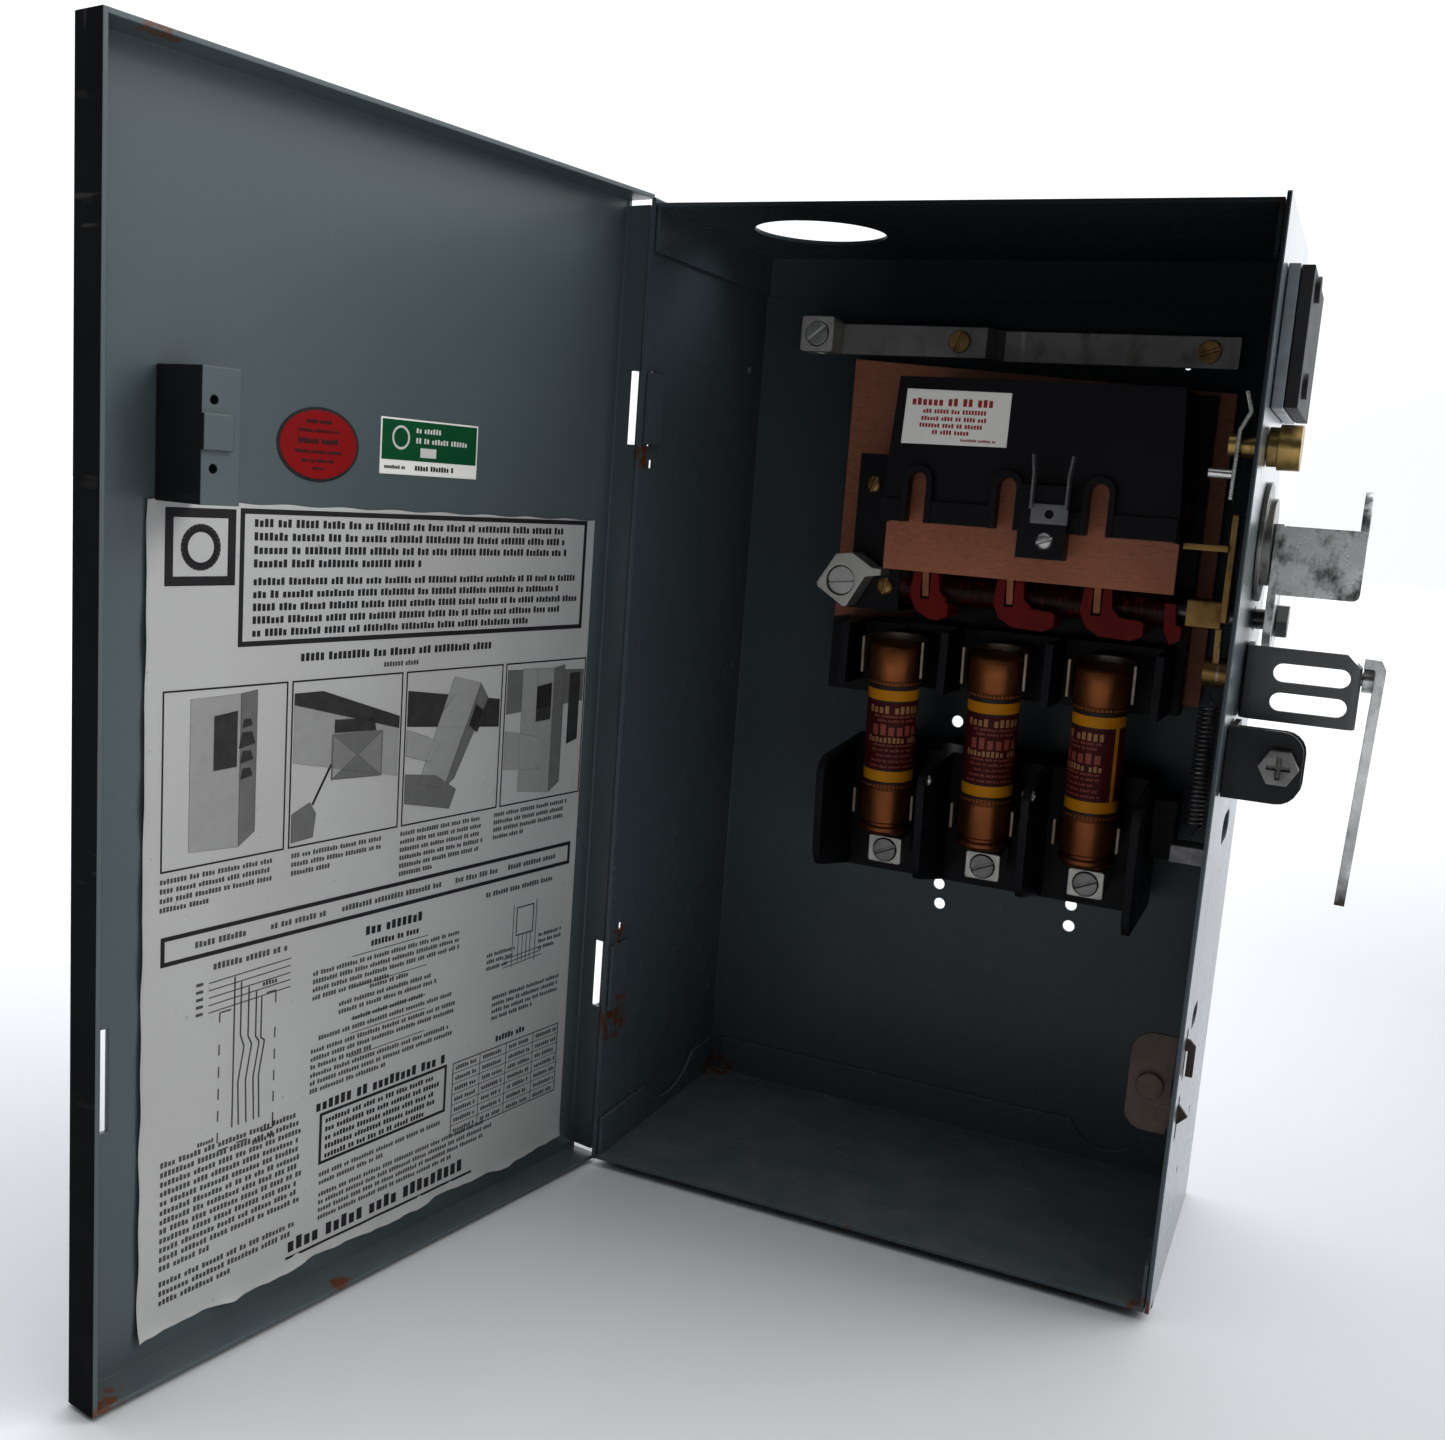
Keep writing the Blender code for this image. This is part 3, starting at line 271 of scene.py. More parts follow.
def door_paint():
    """The same enamel on the door, lighter in use and with less dust."""
    look = Look("door_paint", "blue_grey_paint")
    rusty = [(DOOR @ at(212, 8, 3), 0.009), (DOOR @ at(128, 9, 2), 0.006),
             (DOOR @ at(200, 8, 371), 0.009)]
    return finish(look, (0.100, 0.130, 0.138), (0.110, 0.142, 0.150), 0.3, blotch=9.0, spread=0.03,
                  grain=1400.0, relief=0.08, wear=(0.11, 0.08, 0.06), wear_at=(0.05, 0.3),
                  wear_metal=0.3, scratch=(0.24, 0.27, 0.28), scratch_share=0.10, dust=DUST,
                  dust_share=0.08, extra=rust_on(rusty))


def rim_paint_and_shade():
    """The door's outer faces: a darker paint, made nearly black as painted shade."""
    look = Look("rim_paint_and_shade", "blue_grey_paint", Specular_IOR_Level=0.05)
    return finish(look, (0.006, 0.007, 0.008), (0.012, 0.013, 0.014), 0.7, blotch=16.0, grain=1200.0,
                  relief=0.1, wear=(0.15, 0.11, 0.08), wear_at=(0.02, 0.25), wear_metal=0.4,
                  scratch=(0.13, 0.12, 0.11), scratch_share=0.5)


def bracket_paint():
    look = Look("bracket_paint", "bracket_grey_paint")
    return finish(look, (0.115, 0.12, 0.123), (0.14, 0.147, 0.15), 0.4, blotch=40.0, relief=0.16,
                  wear=(0.42, 0.40, 0.37), wear_at=(0.02, 0.16), scratch=(0.32, 0.31, 0.29),
                  scratch_share=0.5, dust=DUST, dust_share=0.2)


def black_paint():
    look = Look("black_bracket_paint", "black_paint", Specular_IOR_Level=0.3)
    return finish(look, (0.012, 0.013, 0.014), (0.020, 0.021, 0.022), 0.38, blotch=35.0, relief=0.18,
                  wear=(0.20, 0.19, 0.18), wear_at=(0.03, 0.22), scratch=(0.12, 0.12, 0.12),
                  scratch_share=0.45, dust=DUST, dust_share=0.2)


def phenolic():
    look = Look("black_phenolic_moulding", "black_phenolic", Specular_IOR_Level=0.16)
    return finish(look, (0.005, 0.005, 0.007), (0.009, 0.009, 0.011), 0.42, blotch=45.0, grain=1700.0,
                  relief=0.14, wear=(0.045, 0.045, 0.05), wear_at=(0.02, 0.2), wear_metal=0.0,
                  scratch=(0.05, 0.05, 0.05), scratch_share=0.5, dust=DUST, dust_share=0.05)


def rubber_pad():
    look = Look("pad_rubber", "black_phenolic")
    return finish(look, (0.014, 0.014, 0.015), (0.024, 0.024, 0.025), 0.6, blotch=60.0, grain=2200.0,
                  relief=0.3, dust=DUST, dust_share=0.3)


def fibre():
    """Pressed fibre board: fine flecks along the sheet, and duller worn edges."""
    look = Look("brown_fibre_board", "brown_fibre")

    def flecks(look, colour):
        fine = look.spread(look.noise(1500.0, 3.0, (0.25, 1.0, 1.0)), 0.5, 0.66)
        dark = look.spread(look.noise(900.0, 3.0, (0.3, 1.0, 1.0)), 0.52, 0.68)
        colour = look.mix(look.calc("MULTIPLY", fine, 0.4), colour, (0.50, 0.20, 0.11))
        return look.mix(look.calc("MULTIPLY", dark, 0.3), colour, (0.17, 0.055, 0.025))

    return finish(look, (0.36, 0.125, 0.062), (0.44, 0.165, 0.085), 0.58, blotch=30.0, grain=1500.0,
                  relief=0.25, wear=(0.5, 0.28, 0.18), wear_at=(0.05, 0.4), wear_metal=0.0,
                  wear_rough=0.8, extra=flecks)


def red_moulding(name, base, shade):
    look = Look(name, "red_insulation", Specular_IOR_Level=0.15)

    def strands(look, colour):
        fine = look.spread(look.noise(700.0, 3.0, (1.0, 0.3, 0.3)), 0.55, 0.7)
        return look.mix(look.calc("MULTIPLY", fine, 0.35), colour, (0.26, 0.012, 0.008))

    return finish(look, base, shade, 0.4, blotch=60.0, grain=1200.0,
                  relief=0.12, wear=(0.30, 0.02, 0.014), wear_metal=0.0, dust=DUST, dust_share=0.03,
                  extra=strands)


def plated(name, base, shade, roughness, slot="zinc_plate", stain=(0.16, 0.15, 0.13),
           stain_share=0.6, metal=0.9, blotch=60.0, foot=None, mottle=0.52, relief=0.18):
    """Plated steel: mottled, stained in places and scratched. It is dirty between the two heights of
    foot, most at the first."""
    look = Look(name, slot)

    def stains(look, colour):
        cloud = look.noise(110.0, 8.0, (1.0, 1.0, 0.6), 0.65)
        spots = look.spread(cloud, mottle, mottle + 0.14, 0.0, stain_share)
        colour = look.mix(spots, colour, stain)
        if foot:
            height = look.split(look.place)[2]
            dirt = look.calc("MULTIPLY", look.spread(height, foot[1], foot[0]),
                             look.spread(look.noise(90.0, 6.0), 0.3, 0.6))
            colour = look.mix(dirt, colour, (0.07, 0.055, 0.04))
        return colour

    return finish(look, base, shade, roughness, blotch=blotch, spread=0.12, grain=1100.0, relief=relief,
                  metal=metal, scratch=(0.85, 0.85, 0.84), scratch_share=0.5, extra=stains)


def printed(name, base, shade, roughness=0.6, slot="paper", blotch=50.0, gloss=0.3):
    """Ink or coated paper."""
    look = Look(name, slot, Specular_IOR_Level=gloss)
    return finish(look, base, shade, roughness, blotch=blotch, grain=1600.0, relief=0.12)


def sheet_paper():
    """Grey-white paper stuck to the door: faint creases and stains."""
    look = Look("sheet_paper", "paper")

    def ageing(look, colour):
        specks = look.spread(look.noise(420.0, 5.0), 0.68, 0.74, 0.0, 0.5)
        colour = look.mix(specks, colour, (0.33, 0.31, 0.27))
        bands = look.spread(look.noise(16.0, 4.0, (1.0, 1.0, 0.35)), 0.45, 0.7, 0.0, 0.45)
        return look.mix(bands, colour, (0.47, 0.465, 0.44))

    return finish(look, (0.60, 0.60, 0.585), (0.55, 0.552, 0.54), 0.42, blotch=14.0, grain=260.0,
                  relief=0.25, extra=ageing)


PAINT = cabinet_paint()
DOOR_PAINT = door_paint()
RIM_PAINT_AND_SHADE = rim_paint_and_shade()
BRACKET = bracket_paint()
BLACK = black_paint()
PHENOLIC = phenolic()
RUBBER = rubber_pad()
FIBRE = fibre()
RED = red_moulding("red_polyester_moulding", (0.20, 0.004, 0.003), (0.15, 0.003, 0.002))
# A near black red, painted as shade on the blade carrier's bar.
SHADED_RED_PAINTED = red_moulding("red_moulding_painted_shade", (0.022, 0.002, 0.002), (0.012, 0.002, 0.002))
ZINC = plated("zinc_plate_worn", (0.50, 0.50, 0.48), (0.40, 0.40, 0.385), 0.36)
BRIGHT = plated("zinc_plate_bright", (0.66, 0.66, 0.64), (0.56, 0.56, 0.55), 0.27, stain_share=0.25)
HANDLE = plated("handle_plate", (0.78, 0.79, 0.77), (0.52, 0.535, 0.52), 0.33, stain=(0.06, 0.06, 0.055),
                stain_share=0.9, blotch=75.0, mottle=0.47)
DISC = plated("disc_plate", (0.30, 0.30, 0.29), (0.20, 0.20, 0.19), 0.36, stain=(0.06, 0.055, 0.05))
SCREW = plated("screw_dark_zinc", (0.24, 0.24, 0.23), (0.17, 0.17, 0.16), 0.4, stain=(0.06, 0.055, 0.05))
BAR = plated("bar_aluminium", (0.26, 0.26, 0.245), (0.18, 0.18, 0.17), 0.48, "aluminium",
             stain=(0.09, 0.085, 0.075), stain_share=0.6, metal=0.7)
LEVER = plated("lever_plate", (0.70, 0.70, 0.69), (0.58, 0.58, 0.57), 0.3, stain=(0.2, 0.19, 0.17),
               stain_share=0.55, foot=(at(0, 0, 143)[2], at(0, 0, 180)[2]))
HOOK = plated("hook_plate_plated", (0.42, 0.46, 0.48), (0.32, 0.35, 0.365), 0.4, stain_share=0.3, metal=0.6)
CLIP = plated("clip_steel", (0.62, 0.62, 0.61), (0.52, 0.52, 0.51), 0.32, stain_share=0.1, relief=0.05)
STEEL = plated("spring_steel", (0.20, 0.20, 0.20), (0.13, 0.13, 0.13), 0.36, metal=0.85, blotch=120.0)
BRONZE = plated("latch_bronze", (0.115, 0.085, 0.070), (0.075, 0.055, 0.046), 0.42, "dark_bronze",
                stain=(0.04, 0.03, 0.025), metal=0.6)
BRASS = plated("brass_aged", (0.47, 0.33, 0.13), (0.36, 0.24, 0.09), 0.33, "brass",
               stain=(0.14, 0.085, 0.03))
DULL_BRASS = plated("brass_dull", (0.36, 0.23, 0.085), (0.24, 0.145, 0.05), 0.42, "brass",
                    stain=(0.10, 0.055, 0.02), stain_share=0.8)
COPPER = plated("clip_copper", (0.25, 0.215, 0.18), (0.17, 0.135, 0.105), 0.38, "copper",
                stain=(0.16, 0.10, 0.06))
JAW = plated("jaw_copper", (0.24, 0.105, 0.055), (0.16, 0.07, 0.035), 0.42, "copper",
             stain=(0.07, 0.03, 0.015))
FERRULE = plated("ferrule_copper", (0.27, 0.100, 0.034), (0.20, 0.068, 0.022), 0.4, "copper",
                 stain=(0.08, 0.026, 0.010), stain_share=0.2, relief=0.08)
ALUMINIUM = plated("lug_aluminium", (0.52, 0.51, 0.48), (0.43, 0.42, 0.39), 0.42, "aluminium",
                   stain=(0.25, 0.235, 0.20), stain_share=0.5, metal=0.75)
PAPER = sheet_paper()
INK = printed("ink_black", (0.018, 0.018, 0.019), (0.030, 0.030, 0.031))
SOFT_INK = printed("ink_worn", (0.075, 0.075, 0.075), (0.12, 0.12, 0.118))
DARK_TONE, MID_TONE, LIGHT_TONE = (
    printed(name, base, shade, blotch=260.0)
    for name, base, shade in (("picture_dark", (0.035, 0.035, 0.035), (0.06, 0.06, 0.059)),
                              ("picture_mid", (0.17, 0.17, 0.166), (0.20, 0.20, 0.196)),
                              ("picture_light", (0.36, 0.36, 0.35), (0.40, 0.40, 0.39))))
LABEL_WHITE = printed("label_white", (0.95, 0.94, 0.89), (0.90, 0.89, 0.84), 0.5)
LABEL_RED = printed("label_red", (0.32, 0.004, 0.007), (0.26, 0.003, 0.005), 0.5, gloss=0.2)
RED_INK = printed("ink_red", (0.45, 0.05, 0.035), (0.36, 0.035, 0.03))
LABEL_GREEN = printed("label_green", (0.003, 0.115, 0.038), (0.002, 0.085, 0.03), 0.45, gloss=0.2)
YELLOW, MAROON, GOLD_INK, RUSTY_INK, DARK_TUBE = (
    printed(name, base, shade, roughness, "fuse_fibre", gloss=gloss)
    for name, base, shade, roughness, gloss in (
        ("fuse_yellow", (0.62, 0.27, 0.004), (0.52, 0.21, 0.003), 0.45, 0.15),
        ("fuse_maroon", (0.085, 0.008, 0.008), (0.065, 0.006, 0.007), 0.45, 0.15),
        ("fuse_gold_ink", (0.42, 0.22, 0.09), (0.33, 0.17, 0.07), 0.45, 0.3),
        ("fuse_red_ink", (0.34, 0.085, 0.055), (0.26, 0.06, 0.04), 0.45, 0.3),
        ("fuse_tube", (0.02, 0.012, 0.01), (0.035, 0.02, 0.016), 0.5, 0.3)))

NODE_LOOKS = {
    "cabinet_shell": PAINT, "top_cap": PAINT, "bottom_cap": PAINT, "hinge_upper": PAINT,
    # The keeper bracket's black sides are painted shade; its inward face gets the door's paint further down.
    "hinge_lower": PAINT, "door_pan": DOOR_PAINT, "keeper_bracket": BLACK, "clamp_bracket": BLACK,
    "hasp_bracket": BRACKET, "hook_plate": HOOK, "hook_plate_pad": RUBBER, "line_shield": PHENOLIC,
    "switch_base": PHENOLIC, "neutral_base": PHENOLIC, "load_fuse_base": PHENOLIC,
    "back_barrier": FIBRE, "front_barrier": FIBRE, "blade_carrier": RED, "spring_crank": DULL_BRASS,
    "switch_shaft": STEEL, "interlock_strip": DULL_BRASS, "spring_anchor": STEEL,
    "handle_arm": HANDLE, "handle_disc": DISC, "clamping_screw": SCREW, "clamp_lever": LEVER,
    "release_screw": BRASS, "interlock_lever": BRIGHT, "door_latch": BRONZE, "shield_clip": CLIP,
    "ground_bar": BAR, "ground_lug": ALUMINIUM, "neutral_lug": ALUMINIUM,
    "ground_lug_screw": ZINC, "neutral_lug_screw": ZINC, "ground_bar_screw_left": DULL_BRASS,
    "ground_bar_screw_right": DULL_BRASS,
}
for side in SIDES:
    NODE_LOOKS.update({f"line_jaw_{side}": JAW, f"switch_blade_{side}": JAW, f"upper_clip_{side}": COPPER,
                       f"lower_clip_{side}": COPPER, f"load_lug_{side}": ALUMINIUM,
                       f"load_lug_screw_{side}": SCREW})


# ---------------------------------------------------------------- mesh helpers
class Shape:
    """A mesh under construction, in millimetres of the cabinet or of the closed door."""

    def __init__(self, *looks):
        self.bm = bmesh.new()
        self.looks = looks

    def face(self, verts, look, smooth=False):
        made = self.bm.faces.new(verts)
        made.material_index = self.looks.index(look)
        made.smooth = smooth
        return made

    def band(self, low, high, look, smooth=False):
        """Faces all the way round between two rings of vertices."""
        for i in range(len(low)):
            j = (i + 1) % len(low)
            self.face((low[i], low[j], high[j], high[i]), look, smooth)

    def slab(self, look, low, high):
        """A flat body between two outlines, each a list of points."""
        rings = [[self.bm.verts.new(point) for point in points] for points in (low, high)]
        for verts in rings:
            self.face(verts, look)
        self.band(*rings, look)

    def prism(self, look, outline, front, back):
        """The outline, as pairs of x and z, made solid from front to back."""
        self.slab(look, *([(x, depth, z) for x, z in outline] for depth in (front, back)))

    def loft(self, look, rings, smooth=False):
        """A skin over rings of vertices, closed at both ends."""
        for low, high in zip(rings, rings[1:]):
            self.band(low, high, look, smooth)
        self.face(rings[0][::-1], look)
        self.face(rings[-1], look)

    def lathe(self, profile, steps, place=CABINET):
        """Rings of (radius, height, look) about the local Z axis of place, closed at both ends."""
        turns = [math.tau * i / steps for i in range(steps)]
        rings = []
        for radius, height, _ in profile:
            spots = [Vector((radius * math.cos(t), radius * math.sin(t), height)) for t in turns]
            if radius == 0:
                spots = [Vector((0, 0, height))]
            rings.append([self.bm.verts.new(place @ spot) for spot in spots])
        for (low, high), (_, _, look) in zip(zip(rings, rings[1:]), profile[1:]):
            for i in range(steps):
                j = (i + 1) % steps
                around = [low[i % len(low)], low[j % len(low)], high[j % len(high)], high[i % len(high)]]
                self.face(list(dict.fromkeys(around)), look, True)

    def tube(self, look, points, radius, sides=8):
        """A round wire along a list of points, closed at both ends."""
        turns = [math.tau * k / sides for k in range(sides)]
        rings = []
        for i, point in enumerate(points):
            before, after = points[max(i - 1, 0)], points[min(i + 1, len(points) - 1)]
            along = (after - before).normalized()
            guide = Vector((0, 0, 1)) if abs(along.z) < 0.95 else Vector((1, 0, 0))
            side = along.cross(guide).normalized()
            up = side.cross(along)
            rings.append([self.bm.verts.new(point + radius * (math.cos(t) * side + math.sin(t) * up))
                          for t in turns])
        self.loft(look, rings, True)

    def finish(self, name, body, place=CABINET, replaces=(), slot=None, sharp=35):
        """Closes the mesh, turns it into a piece in the row frame and lets it ride on its body."""
        bmesh.ops.recalc_face_normals(self.bm, faces=self.bm.faces)
        mesh = bpy.data.meshes.new(name)
        self.bm.to_mesh(mesh)
        self.bm.free()
        for look in self.looks:
            mesh.materials.append(look.made)
        mesh.transform(place @ Matrix.Translation(CORNER) @ Matrix.Scale(MM, 4))
        mesh.shade_smooth()
        mesh.set_sharp_from_angle(angle=math.radians(sharp))
        piece = bpy.data.objects.new(name, mesh)
        bpy.context.scene.collection.objects.link(piece)
        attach(piece, body)
        if slot or self.looks[0].slot:
            slot or self.looks[0].slot
        if replaces:
            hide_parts(*replaces)
        return piece


def screw_head(shape, look, centre, radius, rise, turn):
    """A domed head with a slot across it, seated on a face at centre and rising to the front."""
    slot_width = radius * 0.2
    place = (Matrix.Translation(centre) @ Matrix.Rotation(math.radians(90), 4, "X")
             @ Matrix.Rotation(math.radians(turn), 4, "Z"))
    steps = 12
    layers = [(1.0, -0.6), (1.0, rise * (1 - 0.7)), (0.86, rise * 0.72), (0.6, rise)]
    edge = math.asin(slot_width / radius)
    for half in (0, 1):
        # Each half of the head is a closed body of its own, with the slot between the two.
        arc = [edge + (math.pi - 2 * edge) * i / steps + math.pi * half for i in range(steps + 1)]
        rings = []
        for share, height in layers:
            ring = []
            for t in arc:
                across = radius * share * math.cos(t)
                out = math.copysign(max(abs(radius * share * math.sin(t)), slot_width), math.sin(t))
                ring.append(shape.bm.verts.new(place @ Vector((across, out, height))))
            rings.append(ring)
        count = len(arc)
        for low, high in zip(rings, rings[1:]):
            for i in range(count):
                j = (i + 1) % count
                shape.face((low[i], low[j], high[j], high[i]), look, i != count - 1)
        shape.face(rings[0][::-1], look)
        shape.face(rings[-1], look)
    slot_floor = rise * 0.2
    floor_radius = radius * 0.97
    shape.lathe([(0.0, -0.62, look), (floor_radius, -0.62, look), (floor_radius, slot_floor, look),
                 (0.0, slot_floor, look)], 24, place)


# ---------------------------------------------------------------- CAD nodes
EDGE_ROUND = 0.22      # the bevel on the CAD nodes' edges
FACING = 0.7           # how nearly a face has to point a way to count as facing it
CARRIER_BAR = 6.8      # the radius round the shaft that holds the blade carrier's bar


def dress(node, look):
    """Gives a CAD node its material, and rounds its edges without touching its mesh."""
    thing = frame["nodes"][node]
    mesh = thing.data
    mesh.materials.clear()
    mesh.materials.append(look.made)
    for layer in ("custom_normal", "sharp_edge", "sharp_face"):
        if layer in mesh.attributes:
            mesh.attributes.remove(mesh.attributes[layer])
    mesh.shade_smooth()
    weld = thing.modifiers.new("weld", "WELD")
    weld.merge_threshold = 1e-6
    edges = thing.modifiers.new("edges", "BEVEL")
    edges.width = EDGE_ROUND * MM
    edges.segments = 2
    edges.limit_method = "ANGLE"
    edges.angle_limit = math.radians(38)
    thing.modifiers.new("shading", "WEIGHTED_NORMAL").keep_sharp = True


def second_look(node, look, chosen):
    """Gives a CAD node a second material, on the faces that are chosen by normal and centre."""
    thing = frame["nodes"][node]
    thing.data.materials.append(look.made)
    for face in thing.data.polygons:
        if chosen(face.normal, face.center):
            face.material_index = 1


def dark_rim_painted_shade():
    """The door's outer faces are nearly black, a darker paint deepened by painted shade: its front, and the
    outsides of its flanges.
    """
    closed = DOOR.inverted()
    corners = [local(closed @ vert.co) for vert in frame["nodes"]["door_pan"].data.vertices]
    low, high = (Vector([pick(c[i] for c in corners) for i in range(3)]) for pick in (min, max))
    skin, knuckles = 0.6, 3.0

    def outer(normal, centre):
        way = closed.to_3x3() @ normal
        middle = local(closed @ centre)
        return ((way.x > FACING and middle.x > high.x - skin)
                or (way.y < -FACING and middle.y < low.y + skin)
                or (way.z > FACING and middle.z > high.z - skin)
                or (way.z < -FACING and middle.z < low.z + skin)
                or (way.x < -FACING and middle.x < low.x + knuckles))

    second_look("door_pan", RIM_PAINT_AND_SHADE, outer)


def keeper_face_and_painted_shade():
    """The keeper channel's inward face has the door's paint, and its sides are black: painted shade."""
    inward = (DOOR.to_3x3() @ Vector((0, 1, 0))).normalized()
    second_look("keeper_bracket", DOOR_PAINT, lambda normal, _: normal.dot(inward) > FACING)


def clip_front_painted_shade():
    """The shield clip's web is dark where it faces the front, as painted shade, and its prongs are bright.
    """
    second_look("shield_clip", STEEL, lambda normal, _: normal.y < -FACING)


def carrier_bar_painted_shade():
    """The bar between the blade carrier's crooks is a near black red: painted shade."""
    axis = Vector(JOINTS["switch_throw"]["pos_m"])
    place = frame["nodes"]["blade_carrier"].matrix_world

    def on_bar(_, centre):
        away = (place @ centre) - axis
        return math.hypot(away.y, away.z) < CARRIER_BAR * MM

    second_look("blade_carrier", SHADED_RED_PAINTED, on_bar)


def surface(node):
    """The node's faces as a tree, for finding where a ray meets it."""
    mesh = frame["nodes"][node].data
    corners = [vert.co for vert in mesh.vertices]
    return BVHTree.FromPolygons(corners, [tuple(face.vertices) for face in mesh.polygons])


def front_of(tree, x, z):
    """The y at which a ray going back from well before the front first meets the node."""
    before = -40.0
    hit = tree.ray_cast(at(x, before, z), Vector((0, 1, 0)))[0]
    return local(hit).y


# ---------------------------------------------------------------- printed sheet
def sheet_lift(u, z):
    """How far the sheet stands off the panel: it peels at its foot and its left side."""
    foot = math.exp(-(z - SHEET_BOTTOM) / 2.2)
    side = math.exp(-u / 1.8)
    crinkle = 0.5 + 0.5 * math.sin(u * 0.35) * math.sin(u * 0.11 + 1.0)
    ripple = 0.5 + 0.5 * math.sin(z * 0.21) * math.sin(z * 0.067)
    return 0.32 + foot * (0.5 + 1.3 * crinkle) + side * (0.3 + 0.9 * ripple)


def sheet_spot(u, z, lift=0.0):
    """The point lift above the sheet, at u from its left side as it is read."""
    return (SHEET_LEFT - u, PANEL + sheet_lift(u, z) + lift, z)


def sheet_edge(u):
    """The ragged foot of the sheet."""
    waves = 0.6 * math.sin(u * 0.11), 0.25 * math.sin(u * 0.31 + 0.6), 0.1 * math.sin(u * 0.9)
    return SHEET_BOTTOM + waves[0] + waves[1] + waves[2]


def instruction_sheet():
    """The paper, a thin closed body whose grid is finer at its foot and its sides, where it curls."""
    shape = Shape(PAPER)
    across, up = 96, 60
    thick = 0.14
    layers = []
    for lift in (0.0, thick):
        rows = []
        for j in range(up + 1):
            share = (j / up) ** 1.6
            row = []
            for i in range(across + 1):
                eased = 0.5 - 0.5 * math.cos(math.pi * i / across)
                u = SHEET_WIDTH * eased * 0.6 + SHEET_WIDTH * i / across * 0.4
                low = sheet_edge(u)
                high = SHEET_TOP + 1.2 * (1 - u / SHEET_WIDTH) + 0.25 * math.sin(u * 0.3)
                z = low + (high - low) * share
                shift = 0.12 * math.sin(z * 0.25) * math.exp(-u / 3.0)
                row.append(shape.bm.verts.new(sheet_spot(u + shift, z, lift - thick)))
            rows.append(row)
        layers.append(rows)
    for rows in layers:
        for j in range(up):
            for i in range(across):
                shape.face((rows[j][i], rows[j][i + 1], rows[j + 1][i + 1], rows[j + 1][i]), PAPER, True)
    back, front = layers
    border = ([(0, i) for i in range(across)] + [(j, across) for j in range(up)]
              + [(up, i) for i in range(across, 0, -1)] + [(j, 0) for j in range(up, 0, -1)])
    for k, (j, i) in enumerate(border):
        j2, i2 = border[(k + 1) % len(border)]
        shape.face((back[j][i], back[j2][i2], front[j2][i2], front[j][i]), PAPER)
    return shape.finish("instruction_paper", "door", DOOR, ["instruction_sheet"])


INK_LIFT = 0.02
INK_THICK = 0.05


def stroke(shape, look, start, end, width, spot=sheet_spot, pitch=8.0):
    """A flat line of ink that follows the paper."""
    start, end = Vector(start), Vector(end)
    along = end - start
    side = Vector((-along.y, along.x)).normalized() * width / 2
    count = max(1, math.ceil(along.length / pitch))
    low, high = INK_LIFT, INK_LIFT + INK_THICK
    rings = []
    for i in range(count + 1):
        centre = start + along * (i / count)
        a, b = centre + side, centre - side
        rings.append([shape.bm.verts.new(spot(p.x, p.y, lift))
                      for p, lift in ((a, low), (b, low), (b, high), (a, high))])
    shape.loft(look, rings)


def frame_of(shape, look, left, right, low, high, width):
    """A rectangle of four strokes, whose outside is the given one."""
    half = width / 2
    for z in (low + half, high - half):
        stroke(shape, look, (left, z), (right, z), width)
    for u in (left + half, right - half):
        stroke(shape, look, (u, low + width), (u, high - width), width)


def ring_of(shape, look, centre, radius, width, count, spot=sheet_spot):
    """A ring of short strokes, each a little longer than its share of the way round."""
    for i in range(count):
        turns = math.tau * i / count, math.tau * (i + 1.05) / count
        ends = [centre + radius * Vector((math.cos(turn), math.sin(turn))) for turn in turns]
        stroke(shape, look, *ends, width, spot)


def patch(shape, look, outline, layer=0, spot=sheet_spot):
    """A flat tone over a part of the paper; a higher layer covers a lower one."""
    low = INK_LIFT + layer * INK_THICK
    shape.slab(look, *([spot(u, z, lift) for u, z in outline] for lift in (low, low + INK_THICK)))


def greek(shape, look, left, right, z, height, draw, spot=sheet_spot, fill=1.0):
    """A row of plain blocks in word-like groups, in place of a line of text."""
    u = left
    end = left + (right - left) * fill
    block = height * 0.5
    while u < end - block:
        for _ in range(draw.randint(2, 9)):
            if u > end - block:
                break
            tall = height * draw.choice((1.0, 0.92, 0.78))
            stroke(shape, look, (u, z + tall / 2), (u + block, z + tall / 2), tall, spot, 50.0)
            u += block * 1.5
        u += block * 1.1


def paragraph(shape, look, left, right, top, lines, pitch, height, draw, last=0.6):
    """Lines of blocks, full but for the last one, which is filled by the share last."""
    for i in range(lines):
        fill = last if i == lines - 1 else draw.uniform(0.93, 1.0)
        greek(shape, look, left, right, top - i * pitch - height, height, draw, fill=fill)


def heading(shape, look, centre, half, z, height, draw):
    """One line of blocks about a centre."""
    greek(shape, look, centre - half, centre + half, z, height, draw)


